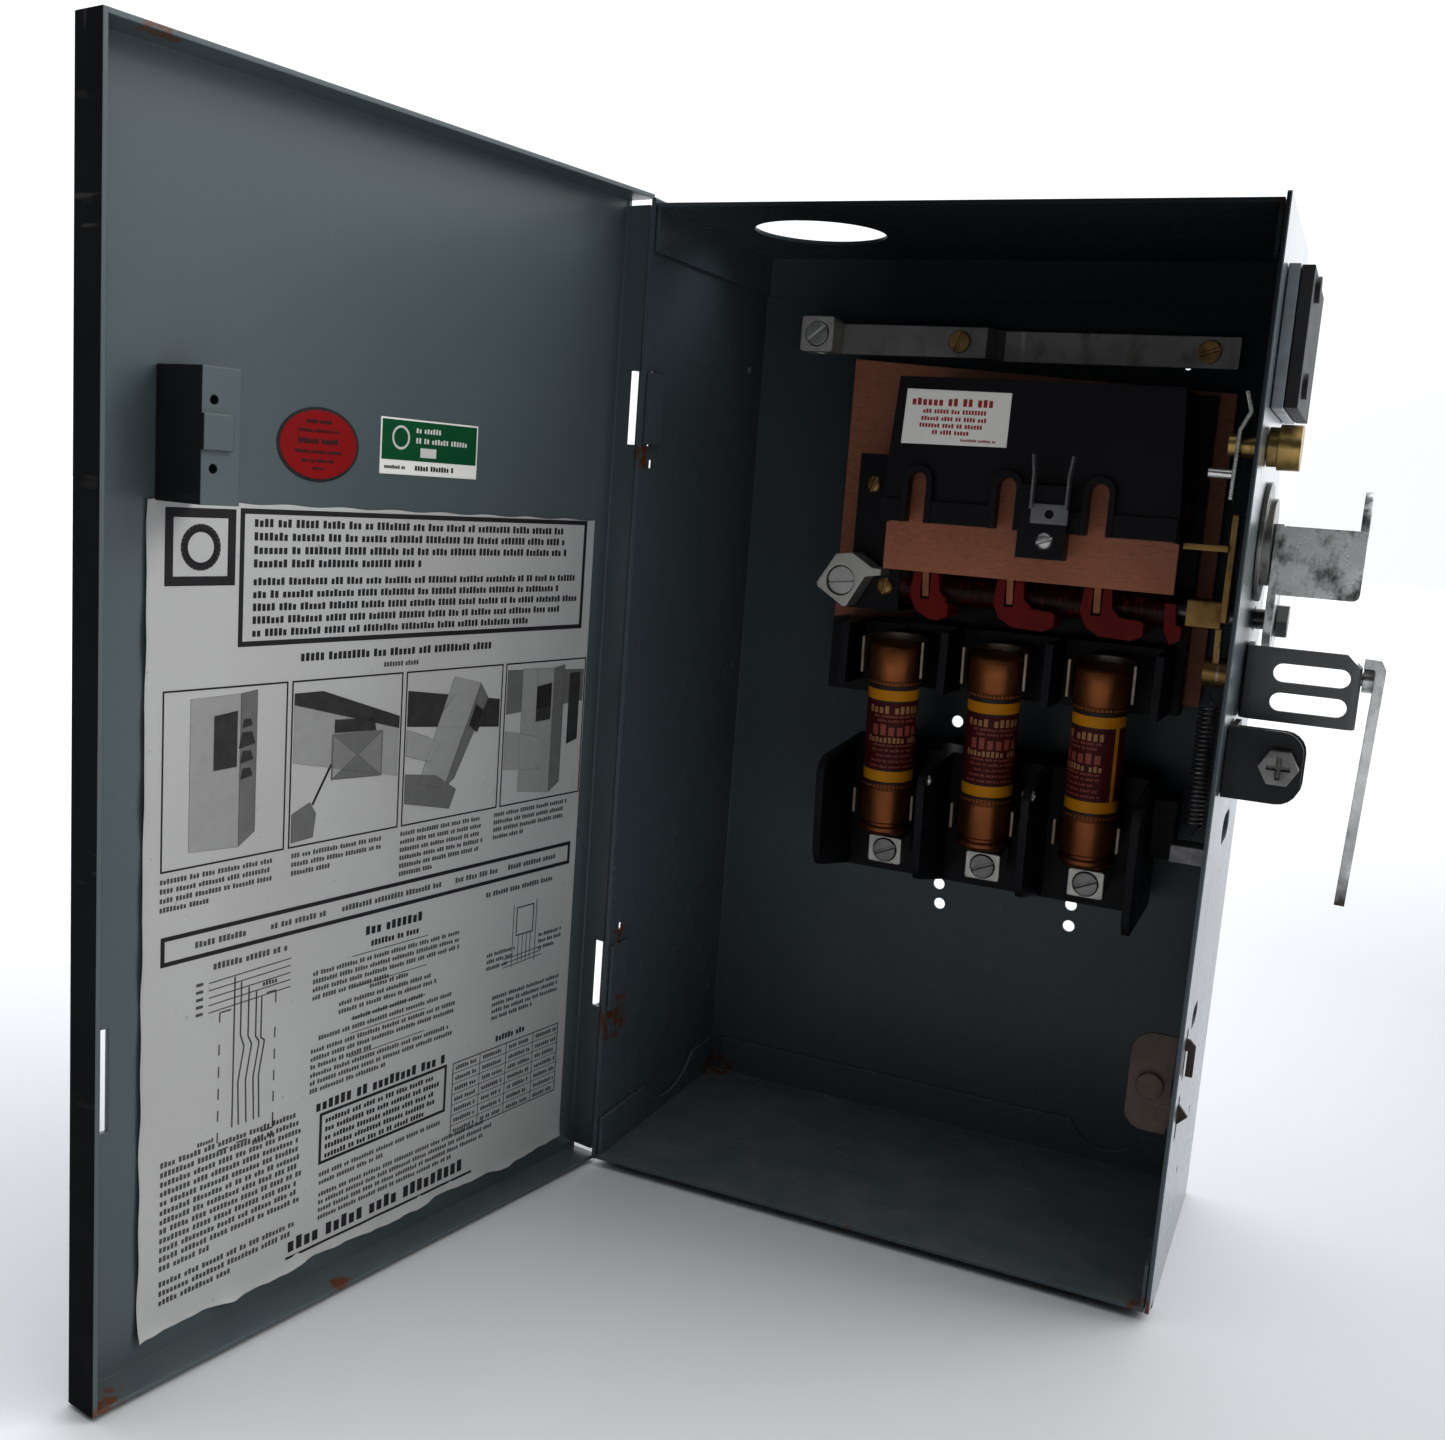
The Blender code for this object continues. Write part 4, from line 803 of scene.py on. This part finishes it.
def sheet_text():
    """The print: an emblem of a plain ring, a boxed notice, headings and paragraphs as blocks.

    The numbers are places on the sheet: left, right and centre as u, top and low as z."""
    draw = random.Random(7)
    shape = Shape(INK, SOFT_INK)
    frame_of(shape, INK, 6, 29, 231.5, 253, 2.6)
    ring_of(shape, INK, Vector((17.5, 242.2)), 5.4, 2.2, 28)
    frame_of(shape, INK, 30.5, 184.5, 213.6, 253.4, 1.5)
    paragraph(shape, INK, 35.5, 181, 250.6, 4, 3.9, 2.35, draw, 0.46)
    paragraph(shape, INK, 35.5, 181, 233.6, 5, 3.75, 2.2, draw, 0.82)
    heading(shape, INK, 95.5, 42, 208.2, 2.5, draw)
    heading(shape, SOFT_INK, 94.5, 7.5, 204.6, 1.6, draw)
    for left, right, lines in ((6, 47, 4), (52, 92, 3), (97, 137, 6), (142, 182, 4)):
        paragraph(shape, SOFT_INK, left, right, 148.6, lines, 2.75, 1.5, draw, 0.4)
    frame_of(shape, INK, 6.5, 185.5, 122.6, 131.4, 1.3)
    for left, right in ((18, 37), (45, 67), (73, 118), (124, 146), (151, 178)):
        greek(shape, SOFT_INK, left, right, 126.0, 1.9, draw)
    heading(shape, SOFT_INK, 38.5, 14, 117.9, 2.0, draw)
    heading(shape, INK, 96.5, 13, 115.8, 3.2, draw)
    heading(shape, INK, 97, 11, 111.6, 2.0, draw)
    for top, lines, half, last in ((108.4, 4, 33, 0.5), (98.6, 1, 9, 1.0), (95.6, 2, 22, 1.0),
                                   (89.2, 1, 16, 1.0), (86.2, 1, 30, 1.0), (82.4, 3, 33, 0.4),
                                   (74.2, 3, 33, 0.5)):
        paragraph(shape, SOFT_INK, 95 - half, 95 + half, top, lines, 2.7, 1.5, draw, last)
    for z in (109.8, 99.2, 88.4, 83.4, 75.2):
        stroke(shape, SOFT_INK, (78, z), (112, z), 0.25)
    heading(shape, INK, 95, 30, 60.2, 3.4, draw)
    frame_of(shape, INK, 66.5, 124, 41.4, 59.2, 1.0)
    paragraph(shape, INK, 69, 121.5, 57.0, 5, 3.05, 1.75, draw, 0.85)
    paragraph(shape, SOFT_INK, 67, 123, 38.6, 2, 2.8, 1.5, draw, 0.5)
    paragraph(shape, SOFT_INK, 67, 150, 31.6, 4, 2.7, 1.5, draw, 0.75)
    paragraph(shape, SOFT_INK, 7.5, 60, 63.0, 12, 2.95, 1.75, draw, 0.35)
    paragraph(shape, SOFT_INK, 7.5, 60, 25.6, 3, 2.95, 1.75, draw, 0.5)
    greek(shape, INK, 55, 139, 15.4, 4.4, draw)
    stroke(shape, INK, (54, 13.6), (139, 13.2), 0.8)
    heading(shape, SOFT_INK, 158, 18, 117.6, 1.8, draw)
    paragraph(shape, SOFT_INK, 142, 158, 96.0, 3, 2.5, 1.4, draw, 0.7)
    paragraph(shape, SOFT_INK, 170, 184, 98.0, 3, 2.5, 1.4, draw, 0.7)
    paragraph(shape, SOFT_INK, 146, 184, 79.0, 4, 2.6, 1.5, draw, 0.6)
    heading(shape, INK, 157, 8, 60.6, 2.2, draw)
    return shape.finish("sheet_print", "door", DOOR)


def sheet_diagrams():
    """Thin line work: a wiring diagram, a small wiring sketch and a table, with no lettering."""
    draw = random.Random(11)
    shape = Shape(SOFT_INK, INK)
    for i in range(5):
        z = 114.6 - i * 2.3
        stroke(shape, SOFT_INK, (23, z - 0.5), (53, z + 0.4), 0.3)
        stroke(shape, SOFT_INK, (18.6, z - 0.2), (21, z - 0.2), 0.9)
    for i, u in enumerate((32.2, 34.6, 37.4, 40.2, 42.2)):
        kink = 0 if i == 0 else 1.4
        wire = [(u, 114.0 - i * 2.2), (u, 96 - i), (u + kink, 91), (u - kink * 0.4, 80), (u, 66)]
        for a, b in zip(wire, wire[1:]):
            stroke(shape, SOFT_INK, a, b, 0.5)
    dashes = [((27, 104), (31, 104)), ((27, 104), (27, 101)), ((44, 106), (47.5, 106)),
              ((47.5, 106), (47.5, 102))]
    dashes += [((u, z), (u, z - 3.4)) for u in (27, 47.5) for z in range(66, 98, 7)]
    dashes += [((27, 60), (31, 60)), ((34, 60.4), (38, 60.4)), ((43, 61), (47.5, 61)),
               ((47.5, 61), (47.5, 64))]
    for a, b in dashes:
        stroke(shape, SOFT_INK, a, b, 0.45)
    greek(shape, SOFT_INK, 42.5, 48, 108.5, 1.5, draw)
    greek(shape, SOFT_INK, 40, 48.5, 57.6, 1.5, draw)
    greek(shape, SOFT_INK, 20, 52, 63.6, 1.3, draw, fill=0.2)
    frame_of(shape, INK, 157, 166.5, 99.6, 110.6, 0.4)
    for u in (155.4, 168):
        stroke(shape, SOFT_INK, (u, 112), (u, 88), 0.3)
    for u in (158.6, 160.8, 163.0, 165.2):
        stroke(shape, SOFT_INK, (u, 99.6), (u, 89.5), 0.3)
    for i in range(3):
        z = 91.8 - i * 1.6
        stroke(shape, SOFT_INK, (151, z), (172, z + 0.8), 0.3)
    left, right, top, low = 127, 184.5, 58.6, 30.6
    frame_of(shape, SOFT_INK, left, right, low, top, 0.4)
    columns = (left, 141, 155, 170, right)
    for u in columns[1:-1]:
        stroke(shape, SOFT_INK, (u, low), (u, top), 0.3)
    rows = 7
    for k in range(1, rows):
        z = low + (top - low) * k / rows
        stroke(shape, SOFT_INK, (left, z), (right, z), 0.25)
    for k in range(rows):
        z = low + (top - low) * k / rows + 1.1
        for a, b in zip(columns, columns[1:]):
            greek(shape, SOFT_INK, a + 1.6, b - 1.2, z, 1.5, draw)
    return shape.finish("sheet_diagrams", "door", DOOR)


def tones(shape, left, *patches):
    """Patches of one picture, each as look, layer and outline, from the picture's left side."""
    for look, layer, outline in patches:
        patch(shape, look, [(left + u, z) for u, z in outline], layer)


def sheet_pictures():
    """Four framed pictures of plain shapes: a cabinet, a duct with a cover, and a cabinet hung on it."""
    shape = Shape(MID_TONE, LIGHT_TONE, DARK_TONE, INK, PAPER)
    frames = ((6, 49), (50.5, 95.5), (97, 143), (144.5, 188.5))
    low, high = 150.4, 202.4
    for left, right in frames:
        frame_of(shape, INK, left, right, low, high, 0.5)
    one, two, three, four = (left for left, _ in frames)
    tones(shape, one,
          (LIGHT_TONE, 0, [(9, 155), (26, 154), (26, 200), (9, 199.5)]),
          (MID_TONE, 0, [(26.1, 154), (32, 158), (32, 200.8), (26.1, 200)]),
          (DARK_TONE, 1, [(17, 178), (25, 178.4), (25, 195), (17, 194)]))
    for z, size in ((191, 1.3), (186, 2.4), (181, 1.8), (176, 1.6)):
        tones(shape, one, (DARK_TONE, 1, [(28 - size, z - size), (29 + size, z - size / 2),
                                          (29 + size / 2, z + size), (28 - size / 2, z + size)]))
    tones(shape, two,
          (LIGHT_TONE, 0, [(1, 177), (44, 168), (44, 186), (1, 196)]),
          (DARK_TONE, 1, [(1, 195), (44, 184), (44, 188), (12, 198.5), (1, 198.5)]),
          (MID_TONE, 1, [(16, 170), (37, 169), (37, 184), (16, 184.5)]),
          (LIGHT_TONE, 2, [(16.5, 170.5), (26, 177), (16.5, 184)]),
          (LIGHT_TONE, 2, [(36.5, 169.5), (36.5, 183.5), (27, 177)]),
          (DARK_TONE, 2, [(17, 185), (34, 184.3), (33, 188.4), (17, 189)]))
    stroke(shape, INK, (two + 9, 163), (two + 16, 175), 0.8)
    tones(shape, two, (MID_TONE, 1, [(1, 152), (9.5, 152.6), (10.5, 160), (8, 164), (1, 161)]))
    tones(shape, three,
          (DARK_TONE, 0, [(1, 184), (45, 180), (45, 190), (1, 196)]),
          (LIGHT_TONE, 1, [(7, 164), (19, 161), (35, 196.5), (22, 199.5)]),
          (MID_TONE, 1, [(19.1, 161), (24, 164), (39, 191), (35.1, 196.5)]),
          (MID_TONE, 2, [(1, 158), (22, 153.5), (25, 160), (15, 166), (1, 168)]),
          (LIGHT_TONE, 2, [(1, 174), (12, 171), (16, 177), (10, 180), (1, 183)]),
          (DARK_TONE, 3, [(30, 182), (34, 179), (38, 186), (33, 189)]))
    tones(shape, four,
          (MID_TONE, 0, [(1, 184), (43, 186), (43, 198), (1, 200)]),
          (DARK_TONE, 1, [(35, 170), (41, 171.5), (41, 197), (35, 197)]),
          (LIGHT_TONE, 1, [(9, 155), (26, 152.6), (26, 199.5), (9, 200)]),
          (MID_TONE, 1, [(26.1, 152.6), (32, 156), (32, 200.4), (26.1, 199.5)]),
          (DARK_TONE, 2, [(17, 180), (25, 180.4), (25, 194), (17, 193)]),
          (LIGHT_TONE, 2, [(1, 164), (21, 162), (25, 168), (20, 174), (1, 178)]))
    return shape.finish("sheet_pictures", "door", DOOR)


def door_spot(u, z, lift=0.0):
    """The point lift above a label's ground, with u as on the sheet."""
    return (SHEET_LEFT - u, PANEL + 0.22 + lift, z)


def raised_spot(u, z, lift):
    """The same point, clear of a tone that is printed on the label's ground."""
    return door_spot(u, z, lift + INK_THICK)


def label_ground(shape, look, outline):
    """The label's own body, just clear of the door."""
    shape.prism(look, [(SHEET_LEFT - u, z) for u, z in outline], PANEL + 0.02, PANEL + 0.2)


def rectangle(left, right, low, high):
    return [(left, low), (right, low), (right, high), (left, high)]


def door_labels():
    """A red oval with a dark rim, and a green label with a pale foot."""
    draw = random.Random(3)
    shape = Shape(LABEL_RED, INK, LABEL_GREEN, LABEL_WHITE)
    centre = Vector((SHEET_LEFT - 139.0, 273.0))
    steps = 40

    def oval(wide, high):
        turns = [math.tau * i / steps for i in range(steps)]
        return [(centre.x + wide * math.cos(turn), centre.y + high * math.sin(turn)) for turn in turns]

    label_ground(shape, INK, oval(15.4, 11.0))
    patch(shape, LABEL_RED, oval(14.5, 10.1), 0, door_spot)
    for z, half, tall in ((279.2, 5.0, 1.2), (276.6, 8.0, 0.9), (273.2, 7.6, 1.7), (270.4, 8.8, 1.0),
                          (267.8, 6.5, 0.9), (265.6, 2.2, 0.8)):
        greek(shape, INK, centre.x - half, centre.x + half, z, tall, draw, raised_spot)
    left, right = SHEET_LEFT - 115, SHEET_LEFT - 72
    label_ground(shape, LABEL_WHITE, rectangle(left, right, 265.8, 283.4))
    patch(shape, LABEL_GREEN, rectangle(left + 0.7, right - 0.7, 270.4, 282.8), 0, door_spot)
    ring_of(shape, LABEL_WHITE, Vector((left + 8.5, 277.4)), 3.4, 0.8, 20, raised_spot)
    greek(shape, LABEL_WHITE, left + 15, left + 26, 279.2, 1.7, draw, raised_spot)
    greek(shape, LABEL_WHITE, left + 15, left + 38, 276.0, 1.7, draw, raised_spot)
    patch(shape, LABEL_WHITE, rectangle(left + 17, left + 24, 271.6, 274.6), 1, door_spot)
    greek(shape, INK, left + 2, left + 11, 267.6, 1.1, draw, door_spot)
    greek(shape, INK, left + 15, left + 33, 267.4, 1.6, draw, door_spot)
    return shape.finish("door_labels", "door", DOOR, slot="paper")


def shield_label(tree):
    """A white label with red blocks for its text, on the line shield."""
    draw = random.Random(5)
    face = front_of(tree, 106, 300)
    shape = Shape(LABEL_WHITE, RED_INK)
    outline = [(86.4, 290.6), (126.2, 291.0), (126.4, 310.4), (87.2, 310.6)]
    shape.prism(LABEL_WHITE, outline, face - 0.2, face - 0.02)

    def spot(u, z, lift):
        return (86 + u, face - 0.2 - lift, z)

    greek(shape, RED_INK, 3.6, 35.5, 304.8, 2.7, draw, spot)
    for z, left, right, tall in ((302.0, 8, 32, 1.5), (299.4, 7.5, 32, 1.5), (296.9, 7, 31, 1.5),
                                 (294.5, 12, 26, 1.5), (292.3, 23, 36, 0.9)):
        greek(shape, RED_INK, left, right, z, tall, draw, spot)
    return shape.finish("shield_label", "cabinet")


# ---------------------------------------------------------------- spring and fuses
def operating_spring():
    """A close-wound coil with a hook at each end, along the line from the anchor to the crank pin."""
    low, high = (local(corner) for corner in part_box("operating_spring"))
    x = (low.x + high.x) / 2
    foot = Vector((x, low.y + 4.2, low.z + 0.8))
    head = Vector((x, high.y - 4.2, high.z - 0.8))
    along = (head - foot).normalized()
    side = Vector((1, 0, 0))
    up = along.cross(side)
    length = (head - foot).length
    wire, coil, hook = 0.55, 3.2, 5.0
    turns, steps = 26, 14
    points = [foot, foot + along * (hook * 0.5) + up * 1.2]
    count = turns * steps
    for i in range(count + 1):
        angle = math.tau * i / steps
        far = hook + (length - 2 * hook) * i / count
        points.append(foot + along * far + coil * (math.cos(angle) * side + math.sin(angle) * up))
    points += [head - along * (hook * 0.5) + up * 1.2, head]
    shape = Shape(STEEL)
    shape.tube(STEEL, points, wire, 6)
    return shape.finish("coil_spring", "spring", replaces=["operating_spring"], sharp=80)


def cartridge(side, wrap_turn):
    """A fuse: copper ferrules with a knurled crimp line, and a maroon label with yellow ends."""
    node = f"fuse_{side}"
    low, high = (local(corner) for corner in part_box(node))
    centre = (low + high) / 2
    pull = Vector(JOINTS[f"{side}_fuse_pull"]["axis"])
    tilt = math.asin(-pull.z)
    place = Matrix.Translation(centre) @ Matrix.Rotation(tilt, 4, "X")
    half = 38.1
    ferrule, tube = 10.28, 9.85
    crimp = -half + 21.4
    collar = half - 15.4
    label = tube + 0.06
    bands = ((FERRULE, ((0, -half), (7.8, -half), (8.6, -half + 0.25), (9.6, -half + 0.9),
                        (ferrule, -half + 1.9), (ferrule, -half + 3.3), (9.1, -half + 3.9),
                        (9.1, -half + 5.0), (ferrule - 0.15, -half + 5.7), (ferrule - 0.1, -half + 7.0),
                        (ferrule, -half + 7.3), (ferrule, crimp - 2.6), (ferrule - 0.28, crimp - 2.1),
                        (ferrule - 0.05, crimp - 1.6), (ferrule - 0.05, crimp - 0.3), (tube, crimp))),
             (DARK_TUBE, ((tube, crimp + 1.0),)),
             (YELLOW, ((label, crimp + 1.05), (label, crimp + 5.4))),
             (DARK_TUBE, ((label, crimp + 5.41), (label, crimp + 6.0))),
             (MAROON, ((label, collar - 6.4),)),
             (DARK_TUBE, ((label, collar - 5.8),)),
             (YELLOW, ((label, collar - 5.79), (label, collar - 1.6))),
             (DARK_TUBE, ((tube, collar - 1.55), (tube, collar))),
             (FERRULE, ((ferrule - 0.05, collar + 0.3), (ferrule - 0.05, collar + 1.5),
                        (ferrule - 0.28, collar + 2.0), (ferrule, collar + 2.6), (ferrule, half - 2.2),
                        (9.8, half - 0.9), (8.9, half - 0.2), (8.0, half), (0, half))))
    profile = [(radius, height, look) for look, rings in bands for radius, height in rings]
    shape = Shape(FERRULE, DARK_TUBE, YELLOW, MAROON, GOLD_INK, RUSTY_INK)
    shape.lathe(profile, 56, place)
    knurls = 44
    bead = [(0, -0.62, FERRULE), (0.34, -0.3, FERRULE), (0.34, 0.3, FERRULE), (0, 0.62, FERRULE)]
    across = Matrix.Rotation(math.radians(90), 4, "Z")
    for level in (crimp - 1.0, collar + 0.9):
        for i in range(knurls):
            turn = Matrix.Rotation(math.tau * i / knurls, 4, "Z")
            shape.lathe(bead, 5, place @ turn @ Matrix.Translation((ferrule - 0.12, 0, level)) @ across)
    middle = math.radians(wrap_turn)

    def wrapped(u, z, lift):
        angle = middle + u / label
        far = label + lift
        return place @ Vector((far * math.sin(angle), -far * math.cos(angle), z))

    draw = random.Random(20)
    label_low, label_high = crimp + 6.0, collar - 6.0
    tall = label_high - label_low
    stroke(shape, YELLOW, (15.6, label_low - 0.4), (15.6, label_high + 0.4), 1.7, wrapped)
    rows = ((0.88, 3.0, GOLD_INK, 11.0), (0.785, 1.0, RUSTY_INK, 8.5), (0.72, 1.0, RUSTY_INK, 7.0),
            (0.585, 4.4, RUSTY_INK, 9.0), (0.44, 2.3, GOLD_INK, 11.0), (0.36, 0.9, RUSTY_INK, 8.5),
            (0.29, 1.0, RUSTY_INK, 9.0), (0.21, 0.9, RUSTY_INK, 7.0), (0.13, 1.0, RUSTY_INK, 9.0),
            (0.05, 0.9, RUSTY_INK, 10.0))
    for share, height, look, reach in rows:
        greek(shape, look, -reach, reach + 1.0, label_low + tall * share - height / 2, height, draw, wrapped)
    return shape.finish(f"cartridge_{side}", f"{side}_fuse", replaces=[node], slot="fuse_fibre", sharp=28)


# ---------------------------------------------------------------- small parts
def screws(name, look, node, places):
    """Screws that the CAD leaves out, each on the front of the node: x, z, radius, rise and turn."""
    tree = surface(node)
    shape = Shape(look)
    for x, z, radius, rise, turn in places:
        screw_head(shape, look, (x, front_of(tree, x, z), z), radius, rise, turn)
    return shape.finish(name, "cabinet")


def base_screws():
    """The two screws at the top of the fuse base, whose face is found 3 mm above their centres."""
    fuse_base = surface("load_fuse_base")
    shape = Shape(ZINC)
    for x in (107, 147):
        y = front_of(fuse_base, x, 168)
        screw_head(shape, ZINC, (x, y, 165), 2.6, 1.0, 30 + x)
    return shape.finish("fuse_base_screws", "cabinet")


def back_fasteners():
    """Four low weld marks on the outside of the back wall."""
    shape = Shape(PAINT)
    back = local(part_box("cabinet_shell")[1]).y
    aim = Matrix.Rotation(math.radians(-90), 4, "X")
    profile = [(radius, height, PAINT) for radius, height in (
        (0, -0.4), (3.1, -0.4), (3.0, 0.1), (2.3, 0.35), (1.2, 0.45), (0, 0.48))]
    for x in (12, 204):
        for z in (12, 358):
            shape.lathe(profile, 20, Matrix.Translation((x, back, z)) @ aim)
    return shape.finish("back_weld_marks", "cabinet")


# ---------------------------------------------------------------- camera, light and floor
# The backdrop that the camera sees, and the floor's glow far out, dim towards the right: painted shade.
BACKDROP = 1.0
BACKDROP_PAINTED_DIM = 0.86       # its strength at the photograph's right
SHADED = (-0.35, 0.1)     # the sideways direction where the dimming, a painted shade, starts and ends
BACKDROP_COLOUR = (0.955, 0.975, 1.0)
SWEEP = (0.45, 1.1)       # how far out the floor starts and ends its turn into the backdrop
FLOOR_PAINTED_SHADE = (-0.05, 0.3)   # how far to the right the floor starts and ends its darkening, a painted shade
WORLD_FRONT, WORLD_BACK = 0.03, 1.35
LAMP_PLACE = Vector((2.2, 1.2, 1.9))
LAMP_POWER = 32.0


def floor():
    """A pale floor that turns into the bright backdrop far out, and is darker at the right: painted shade.
    """
    look = Look("studio_floor", Roughness=0.6, Emission_Color=(*BACKDROP_COLOUR, 1.0))
    cloud = look.spread(look.noise(1.6, 3.0), 0.35, 0.65)
    colour = look.mix(cloud, (0.80, 0.805, 0.82), (0.83, 0.835, 0.845))
    away = look.add("VectorMath", {0: look.place}, operation="LENGTH").outputs["Value"]
    far = look.spread(away, *SWEEP)
    # Darker towards the right, in colour and in its far glow: painted shade.
    aside_painted_shade = look.spread(look.split(look.place)[0], *FLOOR_PAINTED_SHADE)
    colour = look.mix(aside_painted_shade, colour, (0.52, 0.525, 0.54))
    look.feed("Base Color", look.mix(far, colour, (0.0, 0.0, 0.0)))
    way = look.add("VectorMath", {0: look.place}, operation="NORMALIZE").outputs["Vector"]
    shade = look.spread(look.split(way)[0], *SHADED, BACKDROP, BACKDROP_PAINTED_DIM)
    look.feed("Emission Strength", look.calc("MULTIPLY", far, shade))
    mesh = bpy.data.meshes.new("studio_floor")
    reach = 9.0
    height = CAD_BOX[0][2] - 0.0002
    corners = [(x, y, height) for x, y in rectangle(-reach, reach, -reach, reach)]
    mesh.from_pydata(corners, [], [(0, 1, 2, 3)])
    mesh.materials.append(look.made)
    thing = bpy.data.objects.new("studio_floor", mesh)
    bpy.context.scene.collection.objects.link(thing)


def studio():
    """A pale room, brighter behind the object than in front of it, and one soft lamp."""
    world = bpy.data.worlds.new("studio")
    bpy.context.scene.world = world
    world.use_nodes = True
    nodes = Nodes(world.node_tree)
    way = nodes.split(nodes.add("TexCoord").outputs["Generated"])
    tilt = nodes.calc("MULTIPLY_ADD", way[2], 1.15, way[1])
    glow = nodes.spread(tilt, -0.1, 0.9, WORLD_FRONT, WORLD_BACK)
    # The backdrop seen by the camera dims towards the right: painted shade.
    dim_painted_shade = nodes.spread(way[0], *SHADED, BACKDROP, BACKDROP_PAINTED_DIM)
    clear = nodes.spread(way[2], 0.05, 0.25)
    shown = nodes.add("Mix", {0: clear, 2: dim_painted_shade, 3: BACKDROP}).outputs[0]
    straight = nodes.add("LightPath").outputs["Is Camera Ray"]
    seen = nodes.add("Mix", {0: straight, 2: glow, 3: shown}).outputs[0]
    background = world.node_tree.nodes["Background"]
    background.inputs["Color"].default_value = (*BACKDROP_COLOUR, 1.0)
    world.node_tree.links.new(seen, background.inputs["Strength"])
    lamp = bpy.data.lights.new("soft_lamp", "AREA")
    lamp.shape = "RECTANGLE"
    lamp.size, lamp.size_y = 2.2, 1.6
    lamp.energy = LAMP_POWER
    lamp.color = (1.0, 0.985, 0.96)
    holder = bpy.data.objects.new("soft_lamp", lamp)
    holder.location = LAMP_PLACE
    holder.rotation_mode = "QUATERNION"
    holder.rotation_quaternion = (-LAMP_PLACE).to_track_quat("-Z", "Y")
    bpy.context.scene.collection.objects.link(holder)


def camera():
    """The photograph's viewpoint, from a fit to the cabinet's corners."""
    lens = bpy.data.cameras.new("camera")
    lens.lens = 36.53
    lens.sensor_width = 36.0
    lens.clip_start, lens.clip_end = 0.02, 50.0
    place = (0.14522, -0.59895, 0.08381)
    right = Vector((0.91079, 0.40628, 0.07343))
    up = Vector((-0.12963, 0.11256, 0.98515))
    back = Vector((0.39198, -0.90679, 0.15518))
    turn = Matrix((right, up, back)).transposed()
    holder = bpy.data.objects.new("camera", lens)
    holder.matrix_world = Matrix.Translation(place) @ turn.to_4x4()
    bpy.context.scene.collection.objects.link(holder)
    bpy.context.scene.camera = holder


# ---------------------------------------------------------------- build
for node, look in NODE_LOOKS.items():
    dress(node, look)
dark_rim_painted_shade()
keeper_face_and_painted_shade()
clip_front_painted_shade()
carrier_bar_painted_shade()
instruction_sheet()
sheet_text()
sheet_diagrams()
sheet_pictures()
door_labels()
shield_label(surface("line_shield"))
operating_spring()
for side, wrap_turn in zip(SIDES, (25, 20, -36)):
    cartridge(side, wrap_turn)
screws("neutral_screws", DULL_BRASS, "neutral_base", ((77.1, 235.7, 3.5, 1.5, 80),
                                                      (69.0, 275.0, 3.3, 1.6, 70)))
screws("shield_screw", ZINC, "line_shield", ((145.0, 259.0, 3.2, 1.7, 20),))
base_screws()
back_fasteners()
floor()
studio()
camera()
view = bpy.context.scene.view_settings
view.view_transform = "Standard"
view.gamma = 0.85
view.exposure = 0.2
